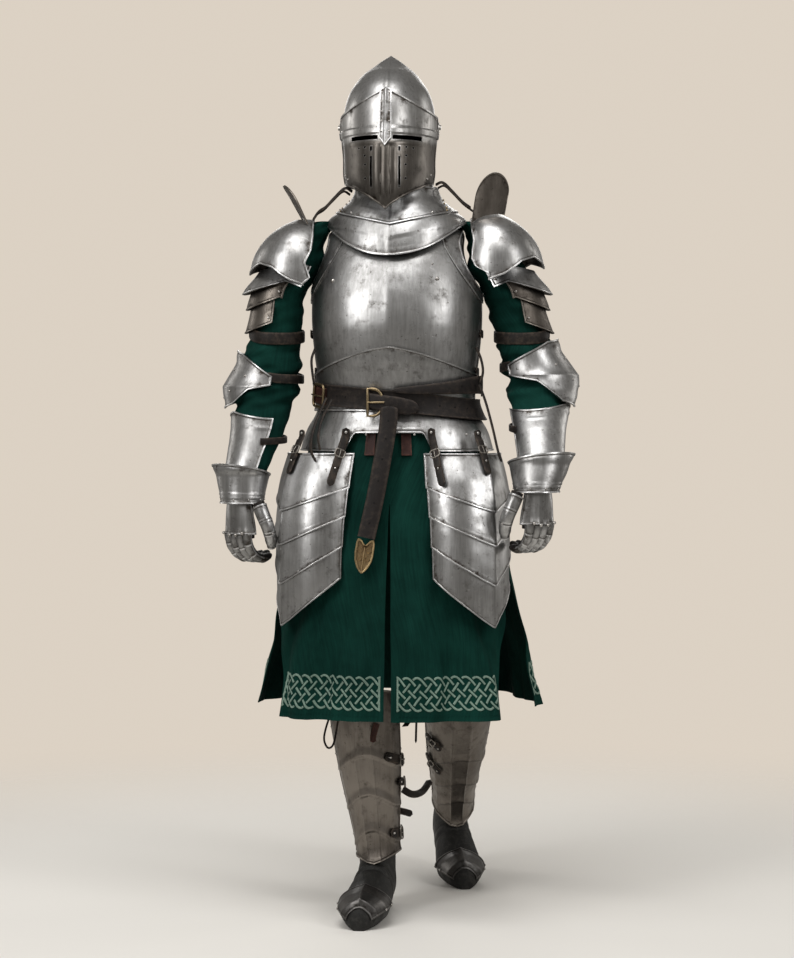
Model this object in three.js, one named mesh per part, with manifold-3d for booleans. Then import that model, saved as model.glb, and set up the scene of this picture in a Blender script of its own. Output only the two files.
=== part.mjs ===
// A suit of plate armour on its arming tunic, worn pose, nobody inside.
// Millimetres, +Z up, the suit faces -Y. Heights in the tables are above the floor;
// the whole suit then hangs from the bearing point of the shoulders, which is the origin.
// "_r" is the wearer's right side (-X) and "_l" the left (+X).
import * as THREE from 'three';
import { mergeVertices } from 'three/addons/utils/BufferGeometryUtils.js';
import Module from 'manifold-3d';

const wasm = await Module();
wasm.setup();

const bearingHeight = 1460;   // shoulders above the floor
const bodyYaw = -7;           // the trunk turns a little to its right, degrees
const headYaw = -3.5;
const headX = -16;
const plateThick = 2;
const clothThick = 2;
const leatherThick = 3;
const beltThick = 4;
const shinTilt = 36;          // the left shin slopes back in mid-stride, degrees
const footPitch = 18;         // its heel is off the ground, degrees

const toRadians = Math.PI / 180;
const steel = [0x8d8b86, 0.34, 0.95];
const darkSteel = [0x5d5a56, 0.45, 0.9];
const leather = [0x2d2422, 0.6, 0];
const cloth = [0x0f3a30, 0.9, 0];
const brass = [0x7a6a50, 0.45, 0.8];

const suit = new THREE.Group();
suit.position.z = -bearingHeight;
const trunk = new THREE.Group();
trunk.rotation.z = bodyYaw * toRadians;
const head = new THREE.Group();
head.position.x = headX;
head.rotation.z = headYaw * toRadians;
suit.add(trunk, head);

function addNode(parent, name, geometry, [color, roughness, metalness]) {
  const mesh = new THREE.Mesh(geometry, new THREE.MeshStandardMaterial({ color, roughness, metalness }));
  mesh.name = name;
  parent.add(mesh);
  return mesh;
}

// ---- walls -----------------------------------------------------------------

// A wall of the given thickness behind a grid of outer points. pointAt(u, v) gives the outer
// surface: u runs anticlockwise seen from above, v runs upwards. poleTop and poleBottom close an end.
function wall({ pointAt, cols, rows, thick, wrap = false, poleTop = null, poleBottom = null }) {
  const outer = [];
  const last = wrap ? cols - 1 : cols;
  for (let i = 0; i <= rows; i += 1) {
    const line = [];
    for (let j = 0; j <= last; j += 1) line.push(pointAt(j / cols, i / rows));
    outer.push(line);
  }
  const column = (j) => (wrap ? (j + cols) % cols : Math.min(Math.max(j, 0), last));
  const inner = outer.map((line, i) => line.map((point, j) => {
    const along = outer[i][column(j + 1)].clone().sub(outer[i][column(j - 1)]);
    const up = outer[Math.min(i + 1, rows)][j].clone().sub(outer[Math.max(i - 1, 0)][j]);
    return point.clone().addScaledVector(along.cross(up).normalize(), -thick);
  }));
  const points = [];
  const faces = [];
  const put = (grid) => grid.map((line) => line.map((point) => points.push(point) - 1));
  const out = put(outer);
  const inn = put(inner);
  const quad = (a, b, c, d) => faces.push(a, b, c, a, c, d);
  for (let i = 0; i < rows; i += 1) {
    for (let j = 0; j < cols; j += 1) {
      const k = column(j + 1);
      quad(out[i][j], out[i][k], out[i + 1][k], out[i + 1][j]);
      quad(inn[i][j], inn[i + 1][j], inn[i + 1][k], inn[i][k]);
    }
    if (!wrap) {
      quad(out[i][0], out[i + 1][0], inn[i + 1][0], inn[i][0]);
      quad(out[i + 1][last], out[i][last], inn[i][last], inn[i + 1][last]);
    }
  }
  closeEnd(out[0], inn[0], poleBottom, true);
  closeEnd(out[rows], inn[rows], poleTop, false);

  function closeEnd(outLine, innLine, pole, bottom) {
    const tips = pole ? pole.map((tip) => points.push(tip) - 1) : null;
    for (let j = 0; j < cols; j += 1) {
      const k = column(j + 1);
      const [near, far] = bottom ? [k, j] : [j, k];
      if (tips) {
        faces.push(outLine[near], outLine[far], tips[0]);
        faces.push(innLine[far], innLine[near], tips[1]);
      } else {
        quad(outLine[near], outLine[far], innLine[far], innLine[near]);
      }
    }
  }

  return closedGeometry(points.flatMap((point) => point.toArray()), faces);
}

// Geometry from corners and triangles, turned so that its faces point outwards.
function closedGeometry(positions, faces) {
  const geometry = new THREE.BufferGeometry();
  geometry.setAttribute('position', new THREE.Float32BufferAttribute(positions, 3));
  const corner = (index) => new THREE.Vector3().fromArray(positions, index * 3);
  let volume = 0;
  for (let i = 0; i < faces.length; i += 3) {
    volume += corner(faces[i]).dot(corner(faces[i + 1]).cross(corner(faces[i + 2])));
  }
  if (volume < 0) faces.reverse();
  geometry.setIndex(faces);
  return geometry;
}

function toSolid(geometry) {
  const bare = geometry.clone();
  bare.deleteAttribute('normal');
  bare.deleteAttribute('uv');
  const merged = mergeVertices(bare, 1e-4);
  return new wasm.Manifold(new wasm.Mesh({
    numProp: 3,
    vertProperties: new Float32Array(merged.attributes.position.array),
    triVerts: new Uint32Array(merged.index.array),
  }));
}

function toGeometry(solid) {
  const mesh = solid.getMesh();
  return closedGeometry(Array.from(mesh.vertProperties), Array.from(mesh.triVerts));
}

function cutAway(geometry, cutters) {
  return toGeometry(cutters.reduce((solid, cutter) => solid.subtract(toSolid(cutter)), toSolid(geometry)));
}

function block(from, to) {
  const size = to.map((value, axis) => value - from[axis]);
  const middle = to.map((value, axis) => (value + from[axis]) / 2);
  return new THREE.BoxGeometry(...size).translate(...middle);
}

// ---- forms: level cross-sections, one row for each height -------------------

// Row columns: z height; x, y centre; wide half-width; front, back depths; power 2 is an ellipse.
function makeForm(rows, power = 2) {
  return rows.map(([z, x, y, wide, front, back]) => ({ z, x, y, wide, front, back, power }));
}

function hermite(low, high, slopeLow, slopeHigh, t) {
  const t2 = t * t;
  const t3 = t2 * t;
  return low * (2 * t3 - 3 * t2 + 1) + slopeLow * (t3 - 2 * t2 + t)
    + high * (3 * t2 - 2 * t3) + slopeHigh * (t3 - t2);
}

function sectionAt(form, height) {
  const last = form.length - 1;
  const z = Math.min(Math.max(height, form[0].z), form[last].z);
  let i = 0;
  while (i < last - 1 && z > form[i + 1].z) i += 1;
  const [low, high] = [form[i], form[i + 1]];
  const before = form[Math.max(i - 1, 0)];
  const after = form[Math.min(i + 2, last)];
  const span = high.z - low.z;
  const section = { power: low.power };
  for (const key of ['x', 'y', 'wide', 'front', 'back']) {
    const slopeLow = (high[key] - before[key]) / (high.z - before.z) * span;
    const slopeHigh = (after[key] - low[key]) / (after.z - low.z) * span;
    section[key] = hermite(low[key], high[key], slopeLow, slopeHigh, (z - low.z) / span);
  }
  return section;
}

// Point at an angle (0 = front, 90 = +X side) and height, moved straight out by a distance.
function formPoint(form, angle, z, out = 0) {
  const { x, y, wide, front, back, power } = sectionAt(form, z);
  const side = Math.sin(angle * toRadians);
  const ahead = Math.cos(angle * toRadians);
  const depth = ahead > 0 ? front : back;
  const px = wide * Math.sign(side) * Math.abs(side) ** (2 / power);
  const py = -depth * Math.sign(ahead) * Math.abs(ahead) ** (2 / power);
  const normal = new THREE.Vector2(px / wide ** 2, py / depth ** 2).normalize();
  return new THREE.Vector3(x + px + normal.x * out, y + py + normal.y * out, z);
}

const valueAt = (value, ...args) => (typeof value === 'function' ? value(...args) : value);

// A plate on a form. Angles are outward from the front on the given side (+1 left, -1 right);
// top, bottom and out may be functions of the angle, out also of the height.
function plate(form, {
  from, to, bottom, top, cols, rows, out = 0, thick = plateThick, side = 1, wrap = false,
}) {
  return wall({
    cols, rows, thick, wrap,
    pointAt(u, v) {
      const angle = side > 0 ? from + (to - from) * u : to + (from - to) * u;
      const low = valueAt(bottom, angle);
      const z = low + (valueAt(top, angle) - low) * v;
      return formPoint(form, side * angle, z, valueAt(out, angle, z));
    },
  });
}

// Straight lines between the rows of an [at, value] table.
function lineThrough(table) {
  return (at) => {
    let i = 0;
    while (i < table.length - 2 && at > table[i + 1][0]) i += 1;
    const [[a, low], [b, high]] = [table[i], table[i + 1]];
    return low + (high - low) * Math.min(Math.max((at - a) / (b - a), 0), 1);
  };
}

const smooth = (t) => {
  const s = Math.min(Math.max(t, 0), 1);
  return s * s * (3 - 2 * s);
};
const sine = (angle) => Math.abs(Math.sin(angle * toRadians));
const mirrored = (form, side) => form.map((row) => ({ ...row, x: row.x * side }));

// ---- helmet ------------------------------------------------------------------

const skullTip = 1871;
const skullForm = makeForm([
  // z   x  y  wide front back
  [1580, 0, 0, 93, 116, 110],
  [1629, 0, 0, 92, 123, 121],
  [1692, 0, 0, 97, 130, 132],
  [1729, 0, 0, 98, 129, 135],
  [1751, 0, 0, 96, 123, 134],
  [1777, 0, 0, 88, 110, 129],
  [1801, 0, 6, 75, 97, 113],
  [1825, 0, 20, 57, 77, 86],
  [1843, 0, 38, 38, 42, 52],
  [1858, 0, 46, 20, 22, 28],
  [1868, 0, 50, 5, 6, 7],
]);
const visorForm = makeForm([
  [1515, 0, 0, 70, 147, 60],
  [1560, 0, 0, 89, 158, 60],
  [1600, 0, 0, 98, 161, 60],
  [1640, 0, 0, 99, 158, 60],
  [1672, 0, 0, 102, 151, 60],
  [1708, 0, 0, 105, 143, 60],
  [1750, 0, 0, 103, 135, 60],
  [1785, 0, 0, 96, 123, 60],
], 1.9);

function helmetSkull() {
  const tip = new THREE.Vector3(0, 50, skullTip);
  const dome = wall({
    cols: 20, rows: 10, thick: plateThick, wrap: true,
    pointAt: (u, v) => formPoint(skullForm, u * 360, 1580 + 288 * v),
    poleTop: [tip, tip.clone().setZ(skullTip - 3)],
  });
  const faceOpening = block([-78, -200, 1500], [78, -22, 1737]);
  return cutAway(dome, [faceOpening]);
}

function visor() {
  const shell = plate(visorForm, {
    from: -84, to: 84, cols: 16, rows: 9,
    bottom: (angle) => 1520 + 62 * sine(angle),
    top: (angle) => 1780 - 53 * sine(angle),
  });
  const cuts = [];
  for (const side of [-1, 1]) {
    const sight = [Math.min(side * 15.5, side * 75), Math.max(side * 15.5, side * 75)];
    cuts.push(block([sight[0], -200, 1667.5], [sight[1], -60, 1677]));
    const breath = [side * 30 - 2.5, side * 30 + 2.5];
    cuts.push(block([breath[0], -200, 1562], [breath[1], -60, 1638]));
  }
  return cutAway(shell, cuts);
}

const browStrip = plate(visorForm, {
  from: -7.7, to: 7.7, cols: 2, rows: 6, out: 3.4,
  bottom: (angle) => 1653 + 2.4 * Math.abs(angle),
  top: (angle) => 1782 - 53 * sine(angle),
});

addNode(head, 'helmet_skull', helmetSkull(), steel);
addNode(head, 'visor', visor(), darkSteel);
addNode(head, 'visor_brow_strip', browStrip, steel);

// ---- gorget ------------------------------------------------------------------

const gorgetForm = makeForm([
  [1420, 0, 0, 150, 143, 124],
  [1450, 0, 0, 152, 139, 122],
  [1485, 0, 0, 151, 129, 116],
  [1510, 0, 0, 146, 117, 108],
  [1528, 0, 0, 122, 107, 99],
  [1550, 0, 0, 96, 99, 92],
  [1580, 0, 0, 83, 92, 86],
]);
const collarSeam = (angle) => 1490 + 34 * sine(angle);
addNode(trunk, 'gorget_upper', plate(gorgetForm, {
  from: 0, to: 360, cols: 24, rows: 3, out: 5, wrap: true, bottom: collarSeam, top: 1576,
}), steel);
addNode(trunk, 'gorget_lower', plate(gorgetForm, {
  from: 0, to: 360, cols: 24, rows: 3, wrap: true,
  bottom: (angle) => 1424 + 74 * sine(angle) ** 2.2,
  top: (angle) => collarSeam(angle) + 9,
}), steel);

// ---- trunk: breastplate, plackart, backplate, fauld ---------------------------

const trunkForm = makeForm([
  [990, 0, 0, 209, 159, 144],
  [1020, 0, 0, 205, 155, 139],
  [1055, 0, 0, 195, 147, 129],
  [1085, 0, 0, 178, 136, 116],
  [1115, 0, 0, 168, 132, 110],
  [1150, 0, 0, 170, 138, 112],
  [1210, 0, 0, 178, 152, 120],
  [1280, 0, 0, 184, 160, 126],
  [1350, 0, 0, 183, 150, 126],
  [1410, 0, 0, 173, 130, 118],
  [1450, 0, 0, 160, 108, 106],
  [1480, 0, 0, 141, 84, 92],
  [1500, 0, 0, 102, 66, 74],
], 2.2);

// Oval hole for the arm, straight through the side.
function armholeCutter(side, grow = 0) {
  const cutter = new THREE.CylinderGeometry(1, 1, 160, 14);
  cutter.rotateZ(Math.PI / 2);
  cutter.scale(1, 70 + grow, 66 + grow);
  return cutter.translate(side * 180, 2, 1415);
}

function breastplate() {
  const shell = plate(trunkForm, { from: -87, to: 87, cols: 16, rows: 8, bottom: 1128, top: 1484 });
  return cutAway(shell, [armholeCutter(-1), armholeCutter(1)]);
}

function backplate() {
  const shell = plate(trunkForm, { from: 93, to: 267, cols: 16, rows: 8, bottom: 1128, top: 1484 });
  return cutAway(shell, [armholeCutter(-1), armholeCutter(1)]);
}

addNode(trunk, 'breastplate', breastplate(), steel);
addNode(trunk, 'backplate', backplate(), steel);
addNode(trunk, 'plackart', plate(trunkForm, {
  from: -82, to: 82, cols: 16, rows: 4, out: 5, bottom: 1094,
  top: (angle) => 1231 - 58 * sine(angle) ** 1.3,
}), steel);

// The fauld's lower edge rises over a low arch at the front.
const fauldEdge = (angle) => 1008 + 39 * (1 - smooth((Math.abs(angle) - 19) / 6));
addNode(trunk, 'fauld', plate(trunkForm, {
  from: -180, to: 180, cols: 36, rows: 3, out: (angle, z) => (z > 1060 ? 0 : 3 * (1060 - z) / 60),
  wrap: true, bottom: fauldEdge, top: 1104,
}), steel);

// ---- belt ----------------------------------------------------------------------

const beltOut = 13;
const beltMiddle = (angle) => 1115 - 18 * Math.sin(angle * toRadians);
const beltHalf = 22;
addNode(trunk, 'belt', plate(trunkForm, {
  from: 0, to: 360, cols: 28, rows: 1, thick: beltThick, wrap: true, out: beltOut,
  bottom: (angle) => beltMiddle(angle) - beltHalf, top: (angle) => beltMiddle(angle) + beltHalf,
}), leather);

// The free end hangs in front of the tunic and leans to the wearer's right.
const tailTop = { x: 6, y: -164, z: 1090 };
const tailEnd = { x: -40, y: -197, z: 826 };
const tailWide = 38;
const chapeEnd = { x: -51, y: -203, z: 752 };

function hangingStrip(top, end, halfWidth, thick, rows) {
  return wall({
    cols: 2, rows, thick,
    pointAt(u, v) {
      const x = end.x + (top.x - end.x) * v;
      const y = end.y + (top.y - end.y) * v;
      const z = end.z + (top.z - end.z) * v;
      return new THREE.Vector3(x + (u - 0.5) * 2 * halfWidth(v), y, z + (u - 0.5) * 2 * halfWidth(v) * 0.17);
    },
  });
}

addNode(trunk, 'belt_tail', hangingStrip(tailTop, tailEnd, () => tailWide / 2, beltThick, 4), leather);
const chapeTop = { x: tailEnd.x - 0.3, y: tailEnd.y - 1, z: tailEnd.z - 1 };
const chapeHalf = (v) => 4 + 16 * smooth(v * 2.4);
addNode(trunk, 'belt_strap_end', hangingStrip(chapeTop, chapeEnd, chapeHalf, 5, 4), brass);

function dRing(width, height, bar, deep) {
  const outline = new THREE.Shape();
  outline.moveTo(0, -height / 2);
  outline.absellipse(0, 0, width, height / 2, -Math.PI / 2, Math.PI / 2, false, 0);
  outline.closePath();
  const hole = new THREE.Path();
  hole.moveTo(bar, -height / 2 + bar);
  hole.absellipse(bar, 0, width - 2 * bar, height / 2 - bar, -Math.PI / 2, Math.PI / 2, false, 0);
  hole.closePath();
  outline.holes.push(hole);
  const geometry = new THREE.ExtrudeGeometry(outline, { depth: deep, bevelEnabled: false, curveSegments: 8 });
  return geometry.rotateX(Math.PI / 2);
}
addNode(trunk, 'belt_buckle', dRing(36, 64, 6, 5).translate(-46, -150.5, 1112), brass);

// ---- tunic ----------------------------------------------------------------------

const tunicForm = makeForm([
  [440, 0, 0, 303, 205, 318],
  [560, 0, 0, 280, 198, 286],
  [697, 0, 0, 252, 188, 240],
  [860, 0, 0, 226, 172, 184],
  [940, 0, 0, 211, 160, 155],
  [1010, 0, 0, 193, 144, 128],
  [1060, 0, 0, 178, 133, 113],
  [1110, 0, 0, 160, 124, 102],
  [1150, 0, 0, 161, 129, 103],
  [1210, 0, 0, 169, 143, 111],
  [1280, 0, 0, 175, 151, 117],
  [1350, 0, 0, 174, 141, 117],
  [1410, 0, 0, 163, 121, 109],
  [1450, 0, 0, 149, 98, 97],
  [1480, 0, 0, 128, 74, 82],
  [1500, 0, 0, 90, 56, 64],
], 2.15);

// Soft folds that open towards the hem. Columns: angle, depth, spread in degrees, upper end.
const frontFolds = [[-38, 15, 7, 930], [-24, -10, 6, 860], [-10, 9, 5, 900], [12, 10, 6, 880],
  [26, -11, 6, 900], [39, 14, 7, 850]];
const backFolds = [[100, 12, 8, 900], [122, -14, 8, 930], [146, 42, 15, 960], [163, 8, 9, 900],
  [184, 16, 9, 940], [206, -15, 8, 900], [228, 18, 9, 950], [250, -13, 8, 900], [264, 10, 7, 860]];

function foldDepth(folds, angle, z) {
  return folds.reduce((sum, [at, depth, spread, upperEnd]) => {
    const reach = smooth((upperEnd - z) / (upperEnd - 440));
    return sum + depth * reach * Math.exp(-(((angle - at) / spread) ** 2));
  }, 0);
}

// Heights of the rows of both panels, closer at the waist and the shoulders.
const panelHeights = [440, 540, 640, 740, 840, 930, 1000, 1050, 1090, 1130, 1180, 1250, 1330, 1400,
  1450, 1490];
const panelRows = panelHeights.length - 1;
const backHemLift = 12;

// The front panel narrows below the side vents; the back panel keeps its full width.
const ventTop = 880;
const frontReach = (z) => 89 - 39 * smooth((ventTop - z) / 420);

function tunicFront() {
  const panel = wall({
    cols: 18, rows: panelRows, thick: clothThick,
    pointAt(u, v) {
      const z = panelHeights[Math.round(v * panelRows)];
      const angle = (2 * u - 1) * frontReach(z);
      return formPoint(tunicForm, angle, z, foldDepth(frontFolds, angle, z));
    },
  });
  const slit = block([-3, -320, 400], [12, -40, 895]);
  return cutAway(panel, [slit, armholeCutter(-1, -3), armholeCutter(1, -3)]);
}

function tunicBack() {
  const panel = wall({
    cols: 22, rows: panelRows, thick: clothThick,
    pointAt(u, v) {
      const z = panelHeights[Math.round(v * panelRows)] + (v === 0 ? backHemLift : 0);
      const angle = 90.6 + 178.8 * u;
      return formPoint(tunicForm, angle, z, foldDepth(backFolds, angle, z));
    },
  });
  return cutAway(panel, [armholeCutter(-1, -3), armholeCutter(1, -3)]);
}

addNode(trunk, 'tunic_front', tunicFront(), cloth);
addNode(trunk, 'tunic_back', tunicBack(), cloth);

// ---- tassets ----------------------------------------------------------------------

const thighForm = makeForm([
  [630, 152, -70, 99, 122, 60],
  [740, 152, -72, 99, 126, 60],
  [860, 148, -68, 99, 122, 60],
  [940, 140, -60, 97, 114, 60],
  [1000, 130, -50, 91, 98, 60],
  [1040, 122, -40, 85, 90, 60],
]);
// Lower edge of each lame: at the inner corner, at the keel and at the outer back edge.
const lameEdges = [
  { inner: 931, keel: 880, outer: 925 },
  { inner: 870, keel: 808, outer: 868 },
  { inner: 807, keel: 724, outer: 800 },
  { inner: 740, keel: 636, outer: 730 },
];
const keelAngle = 44;
const lameOverlap = 14;

function lameEdge({ inner, keel, outer }) {
  return lineThrough([[-33, inner], [keelAngle, keel], [104, outer]]);
}

function tassetLame(index, side) {
  const bottom = lameEdge(lameEdges[index]);
  const above = index > 0 ? lameEdge(lameEdges[index - 1]) : null;
  return plate(mirrored(thighForm, side), {
    side, from: -33, to: 104, cols: 12, rows: 3, bottom,
    top: above ? (angle) => above(angle) + lameOverlap : 1004,
    out: (angle) => 10 - 3.5 * index + 9 * Math.exp(-(((angle - keelAngle) / 9) ** 2)),
  });
}

// Narrow straps from the fauld to the first lames. Columns: angle and height at the top and at the end.
const strapRuns = [[-17, 1058, -10, 936], [37, 1054, 40, 960]];
const strapWide = 17;

function tassetStrap([topAngle, topZ, endAngle, endZ], side) {
  return wall({
    cols: 2, rows: 6, thick: leatherThick,
    pointAt(u, v) {
      const z = endZ + (topZ - endZ) * v;
      const angle = endAngle + (topAngle - endAngle) * v;
      const point = formPoint(thighForm, angle, Math.min(z, 1040), 18 + 4 * sine(2 * angle));
      const across = (side > 0 ? u - 0.5 : 0.5 - u) * strapWide;
      point.x += across * Math.cos(angle * toRadians);
      point.y += across * Math.sin(angle * toRadians);
      return point.set(point.x * side, point.y, z);
    },
  });
}

for (const [label, side] of [['r', -1], ['l', 1]]) {
  lameEdges.forEach((_, index) => {
    addNode(trunk, `tasset_${label}_${index + 1}`, tassetLame(index, side), steel);
  });
  strapRuns.forEach((run, index) => {
    addNode(trunk, `tasset_strap_${label}_${index + 1}`, tassetStrap(run, side), leather);
  });
}

// ---- arms -----------------------------------------------------------------------

// Columns: z  x  y  wide front back, in the suit's own frame.
const armForms = {
  r: makeForm([
    [880, -328, -84, 33, 33, 33],
    [960, -322, -69, 45, 44, 44],
    [1052, -298, -26, 60, 58, 58],
    [1100, -291, -8, 67, 64, 64],
    [1150, -283, 8, 73, 70, 70],
    [1200, -274, 14, 68, 68, 68],
    [1270, -261, 12, 58, 60, 60],
    [1350, -250, 8, 58, 58, 60],
    [1400, -222, 4, 64, 54, 58],
    [1440, -208, 2, 54, 46, 50],
    [1462, -198, 2, 38, 36, 40],
  ]),
  l: makeForm([
    [930, 297, -186, 38, 38, 38],
    [985, 303, -152, 47, 45, 45],
    [1052, 304, -94, 55, 54, 54],
    [1100, 306, -42, 64, 62, 62],
    [1150, 306, -2, 71, 70, 70],
    [1200, 295, 14, 68, 68, 68],
    [1270, 270, 12, 59, 60, 60],
    [1350, 252, 8, 58, 58, 60],
    [1400, 222, 4, 64, 54, 58],
    [1440, 206, 2, 54, 46, 50],
    [1462, 196, 2, 38, 36, 40],
  ]),
};
const arms = {
  r: { side: -1, cuffRim: 968, cuffEnd: 896, vambraceTop: 1094, elbow: 1157, wing: -8, lower: -58 },
  l: { side: 1, cuffRim: 994, cuffEnd: 923, vambraceTop: 1112, elbow: 1182, wing: -52, lower: -80 },
};

// Slack cloth crumples into soft rings around the elbow.
function sleeveSlack(angle, z, elbow) {
  const near = Math.exp(-(((z - elbow + 12) / 62) ** 2));
  const phase = (z + 9 * Math.sin(2 * angle * toRadians)) / 62 * 2 * Math.PI;
  return -5 + 3 * near * Math.sin(phase);
}

// The elbow guard starts as a narrow wing in the bend and opens towards the point of the elbow.
// Share 0 is the end of the wing, 1 the outer side of the arm.
const couterTop = lineThrough([[0, 11], [0.63, 62], [1, 70], [1.4, 56], [2, 22]]);
const couterBottom = lineThrough([[0, 0.15], [0.35, 0.3], [0.5, 0.6], [0.63, 0.83], [1, 1], [1.4, 0.8],
  [2, 0.3]]);

function couter(form, { side, elbow, wing, lower }) {
  const share = (angle) => (angle - wing) / (90 - wing);
  return plate(form, {
    side, from: wing, to: 190, cols: 12, rows: 5,
    bottom: (angle) => elbow + lower * couterBottom(share(angle)),
    top: (angle) => elbow + couterTop(share(angle)),
    out(angle, z) {
      const around = Math.exp(-(((angle - 96) / 58) ** 2));
      const middle = 1 - smooth(Math.abs(z - elbow + 16) / 62);
      return 5 + 3 * around + 14 * around * middle + 5 * smooth((Math.abs(z - elbow) - 40) / 22);
    },
  });
}

const shoulderForm = makeForm([
  [1370, 221, 2, 95, 110, 96],
  [1410, 221, 2, 95, 110, 96],
  [1450, 219, 2, 85, 103, 90],
  [1485, 212, 2, 66, 82, 74],
  [1508, 205, 2, 43, 54, 50],
  [1522, 200, 2, 19, 21, 20],
]);
const pauldronEdge = lineThrough([[-70, 1402], [-45, 1384], [-18, 1371], [5, 1386], [28, 1414], [50, 1424],
  [90, 1402], [130, 1416], [180, 1384], [220, 1388], [250, 1404]]);

const shoulders = {
  r: { drop: 14, neckGap: 178 },
  l: { drop: 0, neckGap: 159 },
};

function pauldron(side, { drop, neckGap }) {
  const crown = new THREE.Vector3(side * 200, 2, 1527);
  const dome = wall({
    cols: 16, rows: 5, thick: plateThick, wrap: true,
    pointAt(u, v) {
      const angle = side > 0 ? -90 + 360 * u : 270 - 360 * u;
      const low = pauldronEdge(Math.min(Math.max(angle, -70), 250));
      return formPoint(mirrored(shoulderForm, side), side * angle, low + (1522 - low) * v, 3);
    },
    poleTop: [crown, crown.clone().setZ(1524)],
  });
  const neckSide = block([-170, -200, 1300], [170, 200, 1600]).translate(side * (neckGap - 170), 0, 0);
  return cutAway(dome, [neckSide]).translate(0, 0, -drop);
}

// Height of the pauldron's surface above a point of the plan.
function shoulderHeight(x, y) {
  let low = 1370;
  let high = 1522;
  for (let step = 0; step < 24; step += 1) {
    const z = (low + high) / 2;
    const { x: cx, y: cy, wide, front, back } = sectionAt(shoulderForm, z);
    const depth = y < cy ? front : back;
    const inside = ((x - cx) / (wide + 3)) ** 2 + ((y - cy) / (depth + 3)) ** 2 < 1;
    if (inside) low = z; else high = z;
  }
  return low;
}

// Upright guard on the shoulder: a curved paddle between two foot points, leaning out as it rises.
// Foot points are on the left side's plan and are mirrored for the right.
const guards = {
  r: { front: [192, -58], back: [206, 30], lean: [40, 4], rise: 84, bulge: [7, 0] },
  l: { front: [160, -44], back: [232, -30], lean: [16, -14], rise: 94, bulge: [0, -12] },
};

function hautePiece(side, { front, back, lean, rise, bulge }, drop) {
  return wall({
    cols: 8, rows: 4, thick: plateThick,
    pointAt(u, v) {
      const share = side > 0 ? u : 1 - u;
      const arc = Math.sin(Math.PI * share);
      const footX = front[0] + (back[0] - front[0]) * share + bulge[0] * arc;
      const footY = front[1] + (back[1] - front[1]) * share + bulge[1] * arc;
      const foot = shoulderHeight(footX, footY) + 4.5;
      const height = v * (0.5 + 0.5 * Math.sqrt(arc));
      return new THREE.Vector3(side * (footX + lean[0] * height), footY + lean[1] * height,
        foot + (1512 + rise - foot) * height - drop);
    },
  });
}

const hingeLines = {
  shoulder: { from: -28, to: 150, top: 1398, bottom: 1346, inner: 9, flare: 15 },
  upper: { from: -6, to: 160, top: 1362, bottom: 1312, inner: 5.5, flare: 6 },
  lower: { from: 8, to: 162, top: 1328, bottom: 1262, inner: 1.5, flare: 6 },
};

function armLame(form, side, { from, to, top, bottom, inner, flare }) {
  const rise = 26;
  return plate(form, {
    side, from, to, cols: 10, rows: 2,
    bottom: (angle) => bottom + rise * (1 - sine(angle)),
    top: (angle) => top + rise * 0.5 * (1 - sine(angle)),
    out: (angle, z) => inner + 3 + flare * smooth((top - z) / (top - bottom)),
  });
}

for (const [label, arm] of Object.entries(arms)) {
  const { side, elbow } = arm;
  const form = armForms[label];
  addNode(suit, `sleeve_${label}`, plate(form, {
    side, from: 0, to: 360, cols: 12, rows: 17, wrap: true, thick: clothThick,
    bottom: arm.cuffRim - 9, top: 1460,
    out: (angle, z) => sleeveSlack(angle, z, elbow),
  }), cloth);
  addNode(suit, `pauldron_${label}`, pauldron(side, shoulders[label]), steel);
  addNode(suit, `haute_piece_${label}`, hautePiece(side, guards[label], shoulders[label].drop), steel);
  addNode(suit, `shoulder_lame_${label}`, armLame(form, side, hingeLines.shoulder), steel);
  addNode(suit, `arm_lame_upper_${label}`, armLame(form, side, hingeLines.upper), steel);
  addNode(suit, `arm_lame_lower_${label}`, armLame(form, side, hingeLines.lower), steel);
  addNode(suit, `couter_${label}`, couter(form, arm), steel);
  addNode(suit, `vambrace_${label}`, plate(form, {
    side, from: label === 'r' ? -25 : -70, to: 190, cols: 12, rows: 3, out: 3,
    bottom: arm.cuffRim - 22, top: (angle) => arm.vambraceTop - 16 * sine(angle - 60),
  }), steel);
}

// ---- hands ------------------------------------------------------------------------

// A hand hangs from the wrist: local -Z down the palm, local -Y the back of the hand,
// the fingers curl towards +Y and the thumb is on the local +X side (mirrored on the left).
const hands = {
  r: { side: 1, at: [-334, -88, 912], turn: -42 },
  l: { side: -1, at: [293, -192, 938], turn: 37 },
};
const palmLength = 84;
const fingerLength = 92;
const curlRadius = 42;

// Centre line of the hand at a length from the wrist: straight palm, then curling fingers.
function handFrame(length) {
  const curl = Math.max(length - palmLength, 0) / curlRadius;
  const y = curlRadius * (1 - Math.cos(curl));
  const z = -Math.min(length, palmLength) - curlRadius * Math.sin(curl);
  return { centre: [y, z], back: [-Math.cos(curl), -Math.sin(curl)] };
}

const handWide = lineThrough([[-40, 29], [0, 32], [30, 38], [80, 43], [130, 40], [180, 34]]);
const handDeep = lineThrough([[-40, 24], [0, 23], [60, 20], [100, 17], [180, 12]]);

// Angle 0 is the back of the hand, 90 its local +X edge.
function handPoint(length, angle, out) {
  const { centre, back } = handFrame(length);
  const across = (handWide(length) + out) * Math.sin(angle * toRadians);
  const off = (handDeep(length) + out) * Math.cos(angle * toRadians);
  return new THREE.Vector3(across, centre[0] + back[0] * off, centre[1] + back[1] * off);
}

function handPlate(start, end, reach, rows, out) {
  return wall({
    cols: 14, rows, thick: plateThick,
    pointAt(u, v) {
      const angle = (2 * u - 1) * reach;
      const length = end + (start - end) * v;
      return handPoint(length, angle, valueAt(out, angle, length));
    },
  });
}

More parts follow.
